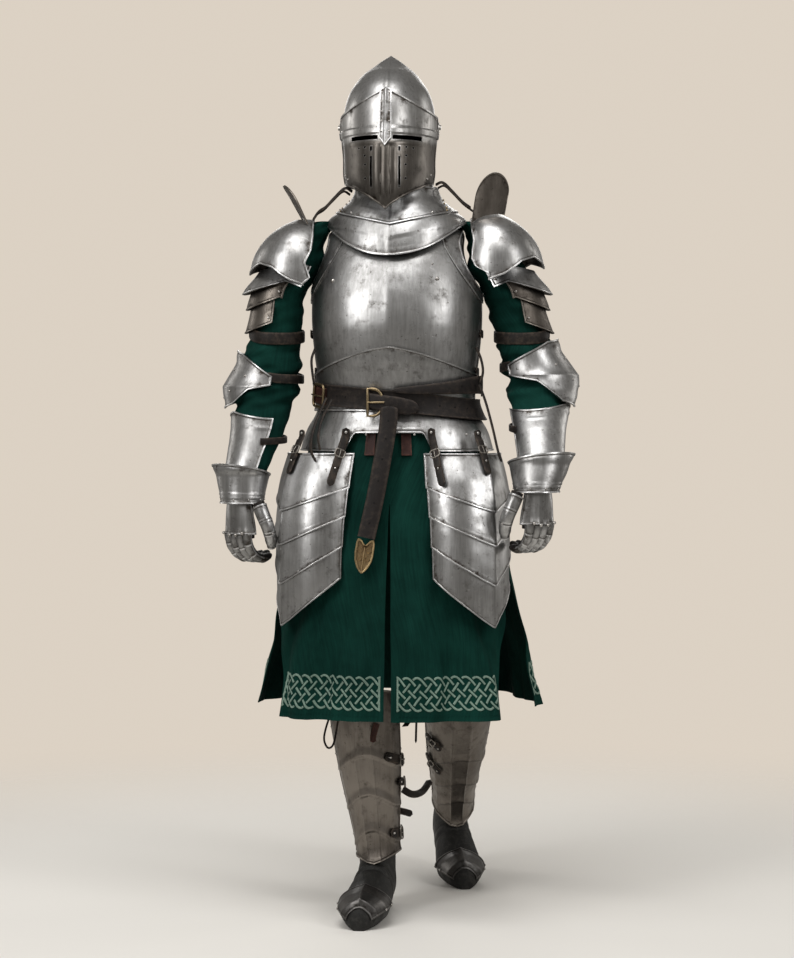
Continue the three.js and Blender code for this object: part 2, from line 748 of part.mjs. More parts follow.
function glove() {
  const end = palmLength + fingerLength;
  const { centre } = handFrame(end + 7);
  const { centre: inside } = handFrame(end + 4);
  return wall({
    cols: 12, rows: 9, thick: clothThick, wrap: true,
    pointAt: (u, v) => handPoint(end - (end + 20) * v, 360 * u, -4),
    poleBottom: [new THREE.Vector3(0, ...centre), new THREE.Vector3(0, ...inside)],
  });
}

const fingerRipple = (angle) => 3 * Math.abs(Math.sin(Math.sin(angle * toRadians) * 2 * Math.PI));

function thumb(side) {
  const path = new THREE.CatmullRomCurve3([
    new THREE.Vector3(side * 57, 4, -34), new THREE.Vector3(side * 68, 9, -58),
    new THREE.Vector3(side * 68, 20, -84), new THREE.Vector3(side * 56, 34, -108),
  ]);
  const sideways = new THREE.Vector3(1, 0, 0);
  const ringAt = (t, angle, shrink) => {
    const along = path.getTangent(t);
    const front = new THREE.Vector3().crossVectors(sideways, along).normalize();
    const across = new THREE.Vector3().crossVectors(along, front).normalize();
    const radius = (14 - 3 * t) * shrink;
    return path.getPoint(t).addScaledVector(front, radius * Math.cos(angle))
      .addScaledVector(across, radius * Math.sin(angle));
  };
  const tip = path.getPoint(1).addScaledVector(path.getTangent(1), 6);
  const tipInside = path.getPoint(1).addScaledVector(path.getTangent(1), 3.5);
  return wall({
    cols: 8, rows: 5, thick: plateThick, wrap: true,
    pointAt: (u, v) => ringAt(1 - v, 2 * Math.PI * u, v === 0 ? 0.8 : 1),
    poleBottom: [tip, tipInside],
  });
}

// Flared cuff around the wrist, pointed over the back of the hand.
const cuffForms = {
  r: makeForm([
    [880, -333, -90, 46, 44, 44],
    [905, -332, -84, 47, 46, 46],
    [935, -332, -74, 53, 54, 54],
    [985, -332, -60, 64, 66, 64],
  ]),
  l: makeForm([
    [905, 292, -198, 46, 45, 45],
    [932, 294, -188, 49, 48, 48],
    [962, 299, -168, 59, 60, 58],
    [1010, 304, -138, 72, 74, 68],
  ]),
};

for (const [label, { side, at, turn }] of Object.entries(hands)) {
  const hand = new THREE.Group();
  hand.position.set(...at);
  hand.rotation.z = turn * toRadians;
  suit.add(hand);
  const arm = arms[label];
  addNode(suit, `gauntlet_cuff_${label}`, plate(cuffForms[label], {
    from: 0, to: 360, cols: 16, rows: 2, wrap: true, bottom: arm.cuffEnd,
    top: (angle) => arm.cuffRim + 14 * Math.cos((angle - turn) * toRadians),
  }), steel);
  addNode(hand, `glove_${label}`, glove(), leather);
  addNode(hand, `gauntlet_hand_${label}`, handPlate(0, palmLength - 2, 92, 3, 1.5), steel);
  addNode(hand, `gauntlet_fingers_${label}`,
    handPlate(palmLength + 3, palmLength + fingerLength, 80, 5, fingerRipple), steel);
  addNode(hand, `gauntlet_thumb_${label}`, thumb(side), steel);
}

// ---- legs --------------------------------------------------------------------------

// Greave heights are above the ankle rim.
const greaveForm = makeForm([
  [0, 0, 0, 51, 70, 65],
  [34, 0, 0, 48, 61, 61],
  [95, 0, -2, 54, 60, 62],
  [190, 0, -6, 66, 64, 74],
  [270, 0, -10, 73, 66, 79],
  [325, 0, -14, 75, 66, 76],
  [390, 0, -18, 68, 64, 66],
], 1.95);

function greave() {
  return plate(greaveForm, {
    from: 0, to: 360, cols: 16, rows: 5, wrap: true,
    bottom: (angle) => 16 * sine(angle), top: (angle) => 366 + 16 * Math.cos(angle * toRadians),
  });
}

// Boot sections from the toe back over the instep and up the shaft. Each plane hangs from a
// point on the upper line; tilt turns it from upright to level. Columns: topY topZ tilt length wide.
const bootRows = [
  [-237, 36, -8, 40, 16],
  [-226, 56, 0, 60, 34],
  [-194, 67, 0, 72, 47],
  [-153, 73, 0, 78, 53],
  [-113, 84, 0, 89, 51],
  [-76, 99, 0, 104, 46],
  [-56, 112, 22, 126, 42],
  [-52, 124, 44, 163, 40],
  [-49, 142, 68, 121, 40],
  [-47, 170, 88, 104, 42],
  [-47, 205, 90, 104, 42],
].map(([topY, topZ, tilt, length, wide]) => ({ topY, topZ, tilt, length, wide }));
const ballY = -150;
const ankleZ = 100;

// A point of the boot: at counts along the rows, angle 0 is the upper line, 90 the +X side.
function bootPoint(at, angle, out, pitch, lean) {
  const i = Math.min(Math.floor(at), bootRows.length - 2);
  const t = at - i;
  const mix = (key) => bootRows[i][key] * (1 - t) + bootRows[i + 1][key] * t;
  const tilt = mix('tilt') * toRadians;
  const half = mix('length') / 2;
  const along = half - (half + out) * Math.cos(angle * toRadians);
  const point = new THREE.Vector3(
    (mix('wide') + out) * Math.sin(angle * toRadians),
    mix('topY') + Math.sin(tilt) * along,
    Math.max(mix('topZ') - Math.cos(tilt) * along, 0),
  );
  return flexed(point, pitch, lean);
}

// The shaft leans about the ankle, then the foot lifts about the ball.
function flexed(point, pitch, lean) {
  const bend = lean * smooth((point.z - ankleZ + 20) / 70) * toRadians;
  const above = point.z - ankleZ;
  const shaft = new THREE.Vector3(point.x, point.y * Math.cos(bend) - above * Math.sin(bend),
    ankleZ + point.y * Math.sin(bend) + above * Math.cos(bend));
  const lift = pitch * smooth((shaft.y - ballY + 35) / 70) * toRadians;
  const behind = shaft.y - ballY;
  return new THREE.Vector3(shaft.x, ballY + behind * Math.cos(lift) - shaft.z * Math.sin(lift),
    behind * Math.sin(lift) + shaft.z * Math.cos(lift));
}

function boot(pitch, lean) {
  const last = bootRows.length - 1;
  const tip = flexed(new THREE.Vector3(0, -241, 18), pitch, lean);
  const tipInside = tip.clone().setY(tip.y + 3);
  return wall({
    cols: 14, rows: last, thick: leatherThick, wrap: true,
    pointAt: (u, v) => bootPoint(last * v, 180 + 360 * u, 0, pitch, lean),
    poleBottom: [tip, tipInside],
  });
}

function toeCap(pitch, lean) {
  return wall({
    cols: 10, rows: 3, thick: plateThick,
    pointAt: (u, v) => bootPoint(Math.max(3 * v, 0.25), -84 + 168 * u, 6, pitch, lean),
  });
}

const legs = {
  r: { at: [-44, 26, 0], yaw: -9, pitch: 0, lean: 0, sway: -5.6, rim: 52 },
  l: { at: [123, 470, 0], yaw: 8, pitch: footPitch, lean: shinTilt - footPitch, sway: -3.5, rim: 38 },
};
const shaftMiddle = 5;
for (const [label, { at, yaw, pitch, lean, sway, rim }] of Object.entries(legs)) {
  const foot = new THREE.Group();
  foot.position.set(...at);
  foot.rotation.z = yaw * toRadians;
  suit.add(foot);
  addNode(foot, `boot_${label}`, boot(pitch, lean), leather);
  addNode(foot, `toe_cap_${label}`, toeCap(pitch, lean), darkSteel);

  // The greave slides over the shaft: both follow the line between two points of its middle.
  const shin = new THREE.Group();
  const low = flexed(new THREE.Vector3(0, shaftMiddle, 160), pitch, lean);
  shin.rotation.set((pitch + lean) * toRadians, sway * toRadians, 0);
  shin.position.copy(low).add(new THREE.Vector3(0, 0, -rim).applyEuler(shin.rotation));
  foot.add(shin);
  addNode(shin, `greave_${label}`, greave(), steel);
}

const model = new THREE.Group();
model.add(suit);
export default model;
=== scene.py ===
import math

import bmesh
import bpy
import numpy as np
from mathutils import Matrix, Vector


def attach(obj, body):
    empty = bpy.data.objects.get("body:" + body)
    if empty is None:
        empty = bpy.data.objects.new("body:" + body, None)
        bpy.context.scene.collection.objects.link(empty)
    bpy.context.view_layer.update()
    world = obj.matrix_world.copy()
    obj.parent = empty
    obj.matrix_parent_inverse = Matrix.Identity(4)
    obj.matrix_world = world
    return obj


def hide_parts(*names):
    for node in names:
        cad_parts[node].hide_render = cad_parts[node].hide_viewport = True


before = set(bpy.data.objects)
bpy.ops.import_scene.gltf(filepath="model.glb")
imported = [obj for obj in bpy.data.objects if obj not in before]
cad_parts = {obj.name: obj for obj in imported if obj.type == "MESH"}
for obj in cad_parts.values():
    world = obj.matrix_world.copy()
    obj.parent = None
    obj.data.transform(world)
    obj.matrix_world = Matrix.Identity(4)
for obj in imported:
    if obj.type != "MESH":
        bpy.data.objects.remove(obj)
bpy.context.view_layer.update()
print("frame loaded")

# The camera and the light

floorZ = -1.46  # the origin is between the shoulders

camera = {"place": (0.0, -5.3, -0.36), "pitchDown": 1.67, "lens": 91.4, "sensor": 36}
lightTable = [
    # name, place, aimed at, width, height, watts, colour
    ("keySoftbox", (-2.3, -2.5, 1.15), (0, 0, -0.1), 1.1, 1.9, 50, (1.0, 0.99, 0.98)),
    ("fillSoftbox", (2.5, -2.3, 1.05), (0, 0, -0.1), 0.8, 1.9, 34, (1.0, 0.99, 0.98)),
    ("topSoftbox", (-0.3, -1.3, 2.5), (0, 0.1, 0), 2.4, 2.0, 78, (1.0, 0.99, 0.98)),
    ("leftRim", (-2.6, 1.5, 0.4), (0, 0, -0.2), 0.5, 2.2, 12, (1.0, 0.97, 0.93)),
    ("rightRim", (2.6, 1.5, 0.4), (0, 0, -0.2), 0.5, 2.2, 12, (1.0, 0.97, 0.93)),
    ("backFill", (0.0, 3.6, 0.9), (0, 0, -0.3), 2.2, 1.6, 40, (1.0, 0.98, 0.95)),
]
backdrop = {"radius": 3.0, "fadeFrom": 1.1, "fadeTo": 2.8, "wall": (0.715, 0.64, 0.55), "paper": (0.77, 0.75, 0.71),
            "ambient": (0.80, 0.76, 0.70), "ambientStrength": 0.24}


def addCamera():
    data = bpy.data.cameras.new("camera")
    data.lens = camera["lens"]
    data.sensor_width = camera["sensor"]
    eye = bpy.data.objects.new("camera", data)
    bpy.context.scene.collection.objects.link(eye)
    eye.location = camera["place"]
    eye.rotation_euler = (math.radians(90 - camera["pitchDown"]), 0, 0)
    bpy.context.scene.camera = eye


def addLights():
    for name, place, target, width, height, watts, colour in lightTable:
        data = bpy.data.lights.new(name, "AREA")
        data.shape = "RECTANGLE"
        data.size = width
        data.size_y = height
        data.energy = watts
        data.color = colour
        lamp = bpy.data.objects.new(name, data)
        bpy.context.scene.collection.objects.link(lamp)
        lamp.location = place
        lamp.rotation_euler = (Vector(target) - Vector(place)).to_track_quat("-Z", "Y").to_euler()
    world = bpy.context.scene.world or bpy.data.worlds.new("studio")
    bpy.context.scene.world = world
    world.use_nodes = True
    tree = world.node_tree
    ambient = tree.nodes["Background"]
    ambient.inputs["Color"].default_value = (*backdrop["ambient"], 1)
    ambient.inputs["Strength"].default_value = backdrop["ambientStrength"]
    wall = tree.nodes.new("ShaderNodeBackground")
    wall.inputs["Color"].default_value = (*backdrop["wall"], 1)
    seen = tree.nodes.new("ShaderNodeMixShader")
    tree.links.new(tree.nodes.new("ShaderNodeLightPath").outputs["Is Camera Ray"], seen.inputs[0])
    tree.links.new(ambient.outputs[0], seen.inputs[1])
    tree.links.new(wall.outputs[0], seen.inputs[2])
    tree.links.new(seen.outputs[0], tree.nodes["World Output"].inputs["Surface"])
    bpy.context.scene.view_settings.view_transform = "Standard"


addCamera()
addLights()

# Grids and solids, all in millimetres

farFromEdge = 100.0
rimFlat, rimSlope = 3.0, 1.8
rimClear = 10  # no even step is kept this near a rim
sharpAngle = math.radians(50)


def smooth(value):
    t = np.clip(value, 0, 1)
    return t * t * (3 - 2 * t)


def sine(angle):
    return np.abs(np.sin(np.radians(angle)))


def hump(value, centre, spread):
    return np.exp(-(((value - centre) / spread) ** 2))


def lineThrough(pairs):
    at, value = np.array(pairs, float).T
    return lambda x: np.interp(x, at, value)


def valueOf(item, *args):
    return item(*args) if callable(item) else item


# A form is a stack of level sections: height, centre x and y, half-width, front and back depth.
def makeForm(rows, power=2.0):
    table = np.array(rows, float)
    return {"heights": table[:, 0], "sections": table[:, 1:], "power": power}


def mirroredForm(form, side):
    sections = form["sections"].copy()
    sections[:, 0] *= side
    return {**form, "sections": sections}


def sectionAt(form, height):
    heights, sections = form["heights"], form["sections"]
    last = len(heights) - 1
    z = np.clip(height, heights[0], heights[-1])
    i = np.clip(np.searchsorted(heights, z) - 1, 0, last - 1)
    before, after = np.maximum(i - 1, 0), np.minimum(i + 2, last)
    span = (heights[i + 1] - heights[i])[..., None]
    low, high = sections[i], sections[i + 1]
    slopeLow = (high - sections[before]) / (heights[i + 1] - heights[before])[..., None] * span
    slopeHigh = (sections[after] - low) / (heights[after] - heights[i])[..., None] * span
    t = ((z - heights[i]) / (heights[i + 1] - heights[i]))[..., None]
    return (
        low * (2 * t**3 - 3 * t**2 + 1)
        + slopeLow * (t**3 - 2 * t**2 + t)
        + high * (3 * t**2 - 2 * t**3)
        + slopeHigh * (t**3 - t**2)
    )


# The point at an angle (0 the front, 90 the +X side) and a height, moved straight out.
def formPoint(form, angle, z, out=0.0):
    angle, z, out = np.broadcast_arrays(np.asarray(angle, float), np.asarray(z, float), out)
    x, y, wide, front, back = np.moveaxis(sectionAt(form, z), -1, 0)
    side, ahead = np.sin(np.radians(angle)), np.cos(np.radians(angle))
    depth = np.where(ahead > 0, front, back)
    power = 2 / form["power"]
    px = wide * np.sign(side) * np.abs(side) ** power
    py = -depth * np.sign(ahead) * np.abs(ahead) ** power
    nx, ny = px / wide**2, py / depth**2
    length = np.hypot(nx, ny)
    return np.stack([x + px + nx / length * out, y + py + ny / length * out, z], -1)


def places():
    def turn(degrees):
        return Matrix.Rotation(math.radians(degrees), 4, "Z")

    hang = Matrix.Translation((0, 0, floorZ * 1000))
    spots = {"suit": hang, "trunk": hang @ turn(-7), "head": hang @ Matrix.Translation((-16, 0, 0)) @ turn(-3.5)}
    spots["handR"] = hang @ Matrix.Translation((-334, -88, 912)) @ turn(-42)
    spots["handL"] = hang @ Matrix.Translation((293, -192, 938)) @ turn(37)
    for label, leg in legs.items():
        foot = hang @ Matrix.Translation(leg["at"]) @ turn(leg["yaw"])
        low = flexed(np.array([0.0, 5.0, 160.0]), leg["pitch"], leg["lean"])
        tilt = Matrix.Rotation(math.radians(leg["pitch"] + leg["lean"]), 4, "X")
        tilt = tilt @ Matrix.Rotation(math.radians(leg["sway"]), 4, "Y")
        spots["foot" + label] = foot
        spots["shin" + label] = foot @ Matrix.Translation(low) @ tilt @ Matrix.Translation((0, 0, -leg["rim"]))
    return {name: np.array(matrix) for name, matrix in spots.items()}


def toRow(points, spot):
    matrix = spots[spot]
    return (np.asarray(points, float) @ matrix[:3, :3].T + matrix[:3, 3]) / 1000


def directionToRow(direction, spot):
    return np.asarray(direction, float) @ spots[spot][:3, :3].T


# Fractions of a length: an even step, closer at the edges that carry a rim.
def fractions(length, step, startRim, endRim):
    rimMarks = np.array([0, 1.2, 2.4, 3.4, 4.4, 5.8, 8])
    marks = np.linspace(0, length, max(int(round(length / step)), 3) + 1)
    kept = [m for m in marks if (m > rimClear or not startRim) and (m < length - rimClear or not endRim)]
    kept += [0, length]
    if startRim:
        kept += list(rimMarks)
    if endRim:
        kept += list(length - rimMarks)
    marks = np.unique(np.round(np.array(kept) / length, 5))
    return marks[(marks >= 0) & (marks <= 1)]


def gridNormals(grid, wrap):
    if wrap:
        along = np.roll(grid, -1, 1) - np.roll(grid, 1, 1)
    else:
        along = np.gradient(grid, axis=1)
    up = np.gradient(grid, axis=0)
    normal = np.cross(along, up)
    return normal / np.maximum(np.linalg.norm(normal, axis=-1, keepdims=True), 1e-9)


waveRandom = np.random.default_rng(7)
waveTable = [(waveRandom.normal(size=3), waveRandom.uniform(0, 6.28)) for _ in range(10)]


# Slow unevenness of hand-beaten plate, between -1 and 1.
def unevenness(points, wavelength):
    total = 0
    for direction, phase in waveTable:
        total = total + np.sin(points @ (direction / wavelength * 4) + phase)
    return total / len(waveTable) * 1.6


# A wall behind a surface. surface(u, v) gives its outer side, u anticlockwise from above, v up.
# border(low, top, start, end) adds relief from the distances to the four edges; facing settles which
# side is the outer one where the grid alone doesn't.
def shell(surface, thick=2.0, step=6.0, wrap=False, rim=1.1, rims=(1, 1, 1, 1), beaten=0.35, poleTop=None,
          poleBottom=None, cols=None, rows=None, border=None, facing=None):
    probe = surface(*np.meshgrid(np.linspace(0, 1, 25), np.linspace(0, 1, 25)))
    wide = np.linalg.norm(np.diff(probe, axis=1), axis=-1).sum(1).max()
    high = np.linalg.norm(np.diff(probe, axis=0), axis=-1).sum(0).max()
    left, right, low, top = [bool(flag) and rim > 0 for flag in rims]
    if wrap:
        us = np.linspace(0, 1, (cols or max(int(wide / step), 12)) + 1)[:-1]
    else:
        us = np.linspace(0, 1, cols + 1) if cols else fractions(wide, step, left, right)
    vs = np.linspace(0, 1, rows + 1) if rows else fractions(high, step, low and poleBottom is None,
                                                            top and poleTop is None)
    grid = surface(*np.meshgrid(us, vs))
    away = np.full(grid.shape[:2], farFromEdge)
    steps = np.linalg.norm(np.diff(grid, axis=0), axis=-1)
    climbed = np.vstack([np.zeros(steps.shape[1]), np.cumsum(steps, 0)])
    steps = np.linalg.norm(np.diff(grid, axis=1), axis=-1)
    walked = np.hstack([np.zeros((steps.shape[0], 1)), np.cumsum(steps, 1)])
    if rims[2] and poleBottom is None:
        away = np.minimum(away, climbed)
    if rims[3] and poleTop is None:
        away = np.minimum(away, climbed[-1] - climbed)
    if not wrap and rims[0]:
        away = np.minimum(away, walked)
    if not wrap and rims[1]:
        away = np.minimum(away, walked[:, -1:] - walked)
    normal = gridNormals(grid, wrap)
    if facing is not None and (normal @ np.asarray(facing, float)).mean() < 0:
        normal = -normal
    lift = rim * (1 - smooth((away - rimFlat) / rimSlope))
    if beaten:
        lift = lift + beaten * unevenness(grid, 60)
    if border:
        lift = lift + border(climbed, climbed[-1] - climbed, walked, walked[:, -1:] - walked)
    outer = grid + normal * lift[..., None]
    inner = grid - normal * thick
    rowCount, colCount = outer.shape[:2]
    points = np.concatenate([outer.reshape(-1, 3), inner.reshape(-1, 3)])
    index = np.arange(rowCount * colCount).reshape(rowCount, colCount)
    nextIndex = np.roll(index, -1, 1) if wrap else index[:, 1:]
    index = index if wrap else index[:, :-1]
    shift = rowCount * colCount
    outside = np.stack([index[:-1], nextIndex[:-1], nextIndex[1:], index[1:]], -1).reshape(-1, 4)
    faces = [outside, outside[:, ::-1] + shift]
    ends = []
    for row, pole, flip in ((0, poleBottom, True), (-1, poleTop, False)):
        a, b = (nextIndex[row], index[row]) if flip else (index[row], nextIndex[row])
        if pole is None:
            faces.append(np.stack([a, b, b + shift, a + shift], -1))
        else:
            tip = len(points)
            points = np.vstack([points, pole])
            ends += [(int(p), int(q), tip) for p, q in zip(a, b)]
            ends += [(int(q) + shift, int(p) + shift, tip + 1) for p, q in zip(a, b)]
    if not wrap:
        full = np.arange(rowCount * colCount).reshape(rowCount, colCount)
        faces.append(np.stack([full[:-1, 0], full[1:, 0], full[1:, 0] + shift, full[:-1, 0] + shift], -1))
        faces.append(np.stack([full[1:, -1], full[:-1, -1], full[:-1, -1] + shift, full[1:, -1] + shift], -1))
    extra = len(points) - 2 * shift
    weave = np.stack([walked, climbed, np.zeros_like(climbed)], -1).reshape(-1, 3) / 1000
    return {
        "weave": np.concatenate([weave, weave, np.zeros((extra, 3))]),
        "points": points,
        "faces": [tuple(map(int, face)) for block in faces for face in block] + ends,
        "edge": np.concatenate([away.ravel(), away.ravel(), np.full(extra, farFromEdge)]),
        "inside": np.concatenate([np.zeros(shift), np.ones(shift), np.full(extra, 0.0)]),
    }


# A solid between rings of points; the ends are closed unless the row of rings is a loop.
def loft(rings, loop=False, edge=farFromEdge):
    rings = np.asarray(rings, float)
    count, around = rings.shape[:2]
    points = rings.reshape(-1, 3)
    index = np.arange(count * around).reshape(count, around)
    following = np.roll(index, -1, 0) if loop else index[1:]
    index = index if loop else index[:-1]
    quads = np.stack([index, np.roll(index, -1, 1), np.roll(following, -1, 1), following], -1).reshape(-1, 4)
    faces = [tuple(map(int, quad)) for quad in quads]
    if not loop:
        for row in (0, count - 1):
            points = np.vstack([points, rings[row].mean(0)])
            ring = np.arange(around) + row * around
            faces += [(int(a), int(b), len(points) - 1) for a, b in zip(ring, np.roll(ring, -1))]
    edge = np.broadcast_to(edge, (count, around)).ravel() if np.ndim(edge) else np.full(count * around, edge)
    return {
        "points": points,
        "faces": faces,
        "edge": np.concatenate([edge, np.full(len(points) - count * around, farFromEdge)]),
        "inside": np.zeros(len(points)),
        "weave": points / 1000,
    }


def curveThrough(knots, count, loop=False):
    knots = np.array(knots, float)
    if loop:
        padded = np.vstack([knots[-1], knots, knots[0], knots[1]])
        spans = len(knots)
    else:
        padded = np.vstack([2 * knots[0] - knots[1], knots, 2 * knots[-1] - knots[-2]])
        spans = len(knots) - 1
    at = np.linspace(0, spans, count + 1)[:-1] if loop else np.linspace(0, spans, count)
    i = np.minimum(at.astype(int), spans - 1)
    t = (at - i)[:, None]
    p0, p1, p2, p3 = padded[i], padded[i + 1], padded[i + 2], padded[i + 3]
    return 0.5 * (2 * p1 + (p2 - p0) * t + (2 * p0 - 5 * p1 + 4 * p2 - p3) * t**2
                  + (3 * p1 - p0 - 3 * p2 + p3) * t**3)


def tangents(path, loop):
    ahead = np.roll(path, -1, 0) - np.roll(path, 1, 0) if loop else np.gradient(path, axis=0)
    return ahead / np.maximum(np.linalg.norm(ahead, axis=1, keepdims=True), 1e-9)


def tube(path, radius, sides=8, loop=False, up=(0.13, 0.21, 0.97)):
    path = np.asarray(path, float)
    ahead = tangents(path, loop)
    across = np.cross(ahead, up)
    across /= np.linalg.norm(across, axis=1, keepdims=True)
    above = np.cross(across, ahead)
    turn = np.linspace(0, 2 * np.pi, sides, endpoint=False)
    radius = np.broadcast_to(radius, len(path))[:, None, None]
    ring = np.cos(turn)[None, :, None] * across[:, None] + np.sin(turn)[None, :, None] * above[:, None]
    return loft(path[:, None] + radius * ring, loop)


# A flat strap along a path; facing is the direction that its outer side looks.
def strap(path, facing, width, thick=3.0, tip=0.0, startTip=0.0):
    path = np.asarray(path, float)
    ahead = tangents(path, False)
    facing = np.broadcast_to(np.asarray(facing, float), path.shape)
    across = np.cross(ahead, facing)
    across /= np.linalg.norm(across, axis=1, keepdims=True)
    facing = np.cross(across, ahead)
    walked = np.concatenate([[0], np.cumsum(np.linalg.norm(np.diff(path, axis=0), axis=1))])
    half = np.broadcast_to(width, len(path)) / 2.0
    if tip:
        half = half * np.sqrt(np.clip(1 - (1 - (walked[-1] - walked) / tip).clip(0, 1) ** 2, 0.02, 1))
    if startTip:
        half = half * np.sqrt(np.clip(1 - (1 - walked / startTip).clip(0, 1) ** 2, 0.02, 1))
    section = [(-1, 0.25), (-0.93, 0.75), (-0.75, 1), (0, 1.06), (0.75, 1), (0.93, 0.75), (1, 0.25), (0.9, 0),
               (-0.9, 0)]
    rings = [path + across * (half * s)[:, None] + facing * (thick * h) for s, h in section]
    near = [0, 0.5, 2, 8, 2, 0.5, 0, 3, 3]
    return loft(np.stack(rings, 1), edge=np.broadcast_to(np.array(near, float), (len(path), len(near))))


def joined(parts):
    points, faces, shift = [], [], 0
    for part in parts:
        points.append(part["points"])
        faces += [tuple(corner + shift for corner in face) for face in part["faces"]]
        shift += len(part["points"])
    return {
        "points": np.vstack(points),
        "faces": faces,
        "edge": np.concatenate([part["edge"] for part in parts]),
        "inside": np.concatenate([part["inside"] for part in parts]),
        "weave": np.concatenate([part["weave"] for part in parts]),
    }


def meshObject(name, part, spot):
    mesh = bpy.data.meshes.new(name)
    mesh.from_pydata(toRow(part["points"], spot).tolist(), [], part["faces"], shade_flat=False)
    for key in ("edge", "inside"):
        scale = 0.001 if key == "edge" else 1
        mesh.attributes.new(key, "FLOAT", "POINT").data.foreach_set("value", part[key] * scale)
    mesh.attributes.new("weave", "FLOAT_VECTOR", "POINT").data.foreach_set("vector", part["weave"].ravel())
    build = bmesh.new()
    build.from_mesh(mesh)
    bmesh.ops.remove_doubles(build, verts=build.verts, dist=1e-6)
    bmesh.ops.recalc_face_normals(build, faces=build.faces)
    build.to_mesh(mesh)
    build.free()
    mesh.set_sharp_from_angle(angle=sharpAngle)
    piece = bpy.data.objects.new(name, mesh)
    bpy.context.scene.collection.objects.link(piece)
    return piece


def cutWith(piece, part, spot):
    cutter = meshObject("cutter", part, spot)
    modifier = piece.modifiers.new("cut", "BOOLEAN")
    modifier.object = cutter
    modifier.operation = "DIFFERENCE"
    modifier.solver = "EXACT"
    bakeModifiers(piece)
    bpy.data.objects.remove(cutter)


def bakeModifiers(piece):
    graph = bpy.context.evaluated_depsgraph_get()
    finished = bpy.data.meshes.new_from_object(piece.evaluated_get(graph), preserve_all_data_layers=True,
                                               depsgraph=graph)
    piece.modifiers.clear()
    old = piece.data
    piece.data = finished
    bpy.data.meshes.remove(old)
    finished.set_sharp_from_angle(angle=sharpAngle)


def boxPart(low, high):
    x, y, z = zip(low, high)
    rings = [[(x[0], y[0], h), (x[1], y[0], h), (x[1], y[1], h), (x[0], y[1], h)] for h in z]
    return loft(rings)


# Puts a finished piece in the model: material, what it rides on and which solids it stands for.
def finishPiece(piece, material, slot, nodes=(), body="suit"):
    piece.data.materials.clear()
    piece.data.materials.append(material)
    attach(piece, body)
    if nodes:
        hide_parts(*nodes)
    return piece


def addPiece(name, parts, spot, material, slot, nodes=(), body="suit"):
    part = joined(parts) if isinstance(parts, list) else parts
    return finishPiece(meshObject(name, part, spot), material, slot, nodes, body)


# Small heads and holes are listed as they are met and made together at the end.
dotLists = {}


def dot(kind, spot, place, normal, radius, body="suit"):
    normal = directionToRow(normal, spot)
    dotLists.setdefault((kind, body), []).append(
        (toRow(place, spot), normal / np.linalg.norm(normal), radius / 1000)
    )


def dotOnForm(kind, spot, form, angle, z, out, radius, body="suit"):
    place = formPoint(form, angle, z, out)
    ahead = formPoint(form, angle, z, out + 5) - place
    dot(kind, spot, place, ahead, radius, body)


# Finishes


def addNode(tree, kind, sockets=None, **settings):
    made = tree.nodes.new(kind)
    for key, value in settings.items():
        setattr(made, key, value)
    for key, value in (sockets or {}).items():
        if isinstance(value, bpy.types.NodeSocket):
            tree.links.new(value, made.inputs[key])
        else:
            made.inputs[key].default_value = value
    return made


def calc(tree, operation, first, second=0.5, third=0.5, clamp=False):
    return addNode(tree, "ShaderNodeMath", {0: first, 1: second, 2: third}, operation=operation,
                   use_clamp=clamp).outputs[0]


def blendColours(tree, share, first, second, mode="MIX"):
    made = addNode(tree, "ShaderNodeMix", {0: share, 6: first, 7: second}, data_type="RGBA", blend_type=mode)
    return made.outputs[2]


def remap(tree, value, fromLow, fromHigh, toLow=0.0, toHigh=1.0):
    sockets = {"Value": value, "From Min": fromLow, "From Max": fromHigh, "To Min": toLow, "To Max": toHigh}
    return addNode(tree, "ShaderNodeMapRange", sockets, interpolation_type="SMOOTHSTEP").outputs[0]


def noise(tree, where, scale, detail=3.0, roughness=0.55):
    sockets = {"Vector": where, "Scale": scale, "Detail": detail, "Roughness": roughness}
    return addNode(tree, "ShaderNodeTexNoise", sockets).outputs["Fac"]


def newGroup(name, inputs, outputs):
    group = bpy.data.node_groups.new(name, "ShaderNodeTree")
    for label, kind in inputs:
        group.interface.new_socket(label, in_out="INPUT", socket_type="NodeSocket" + kind)
    for label, kind in outputs:
        group.interface.new_socket(label, in_out="OUTPUT", socket_type="NodeSocket" + kind)
    return group, group.nodes.new("NodeGroupInput").outputs, group.nodes.new("NodeGroupOutput").inputs


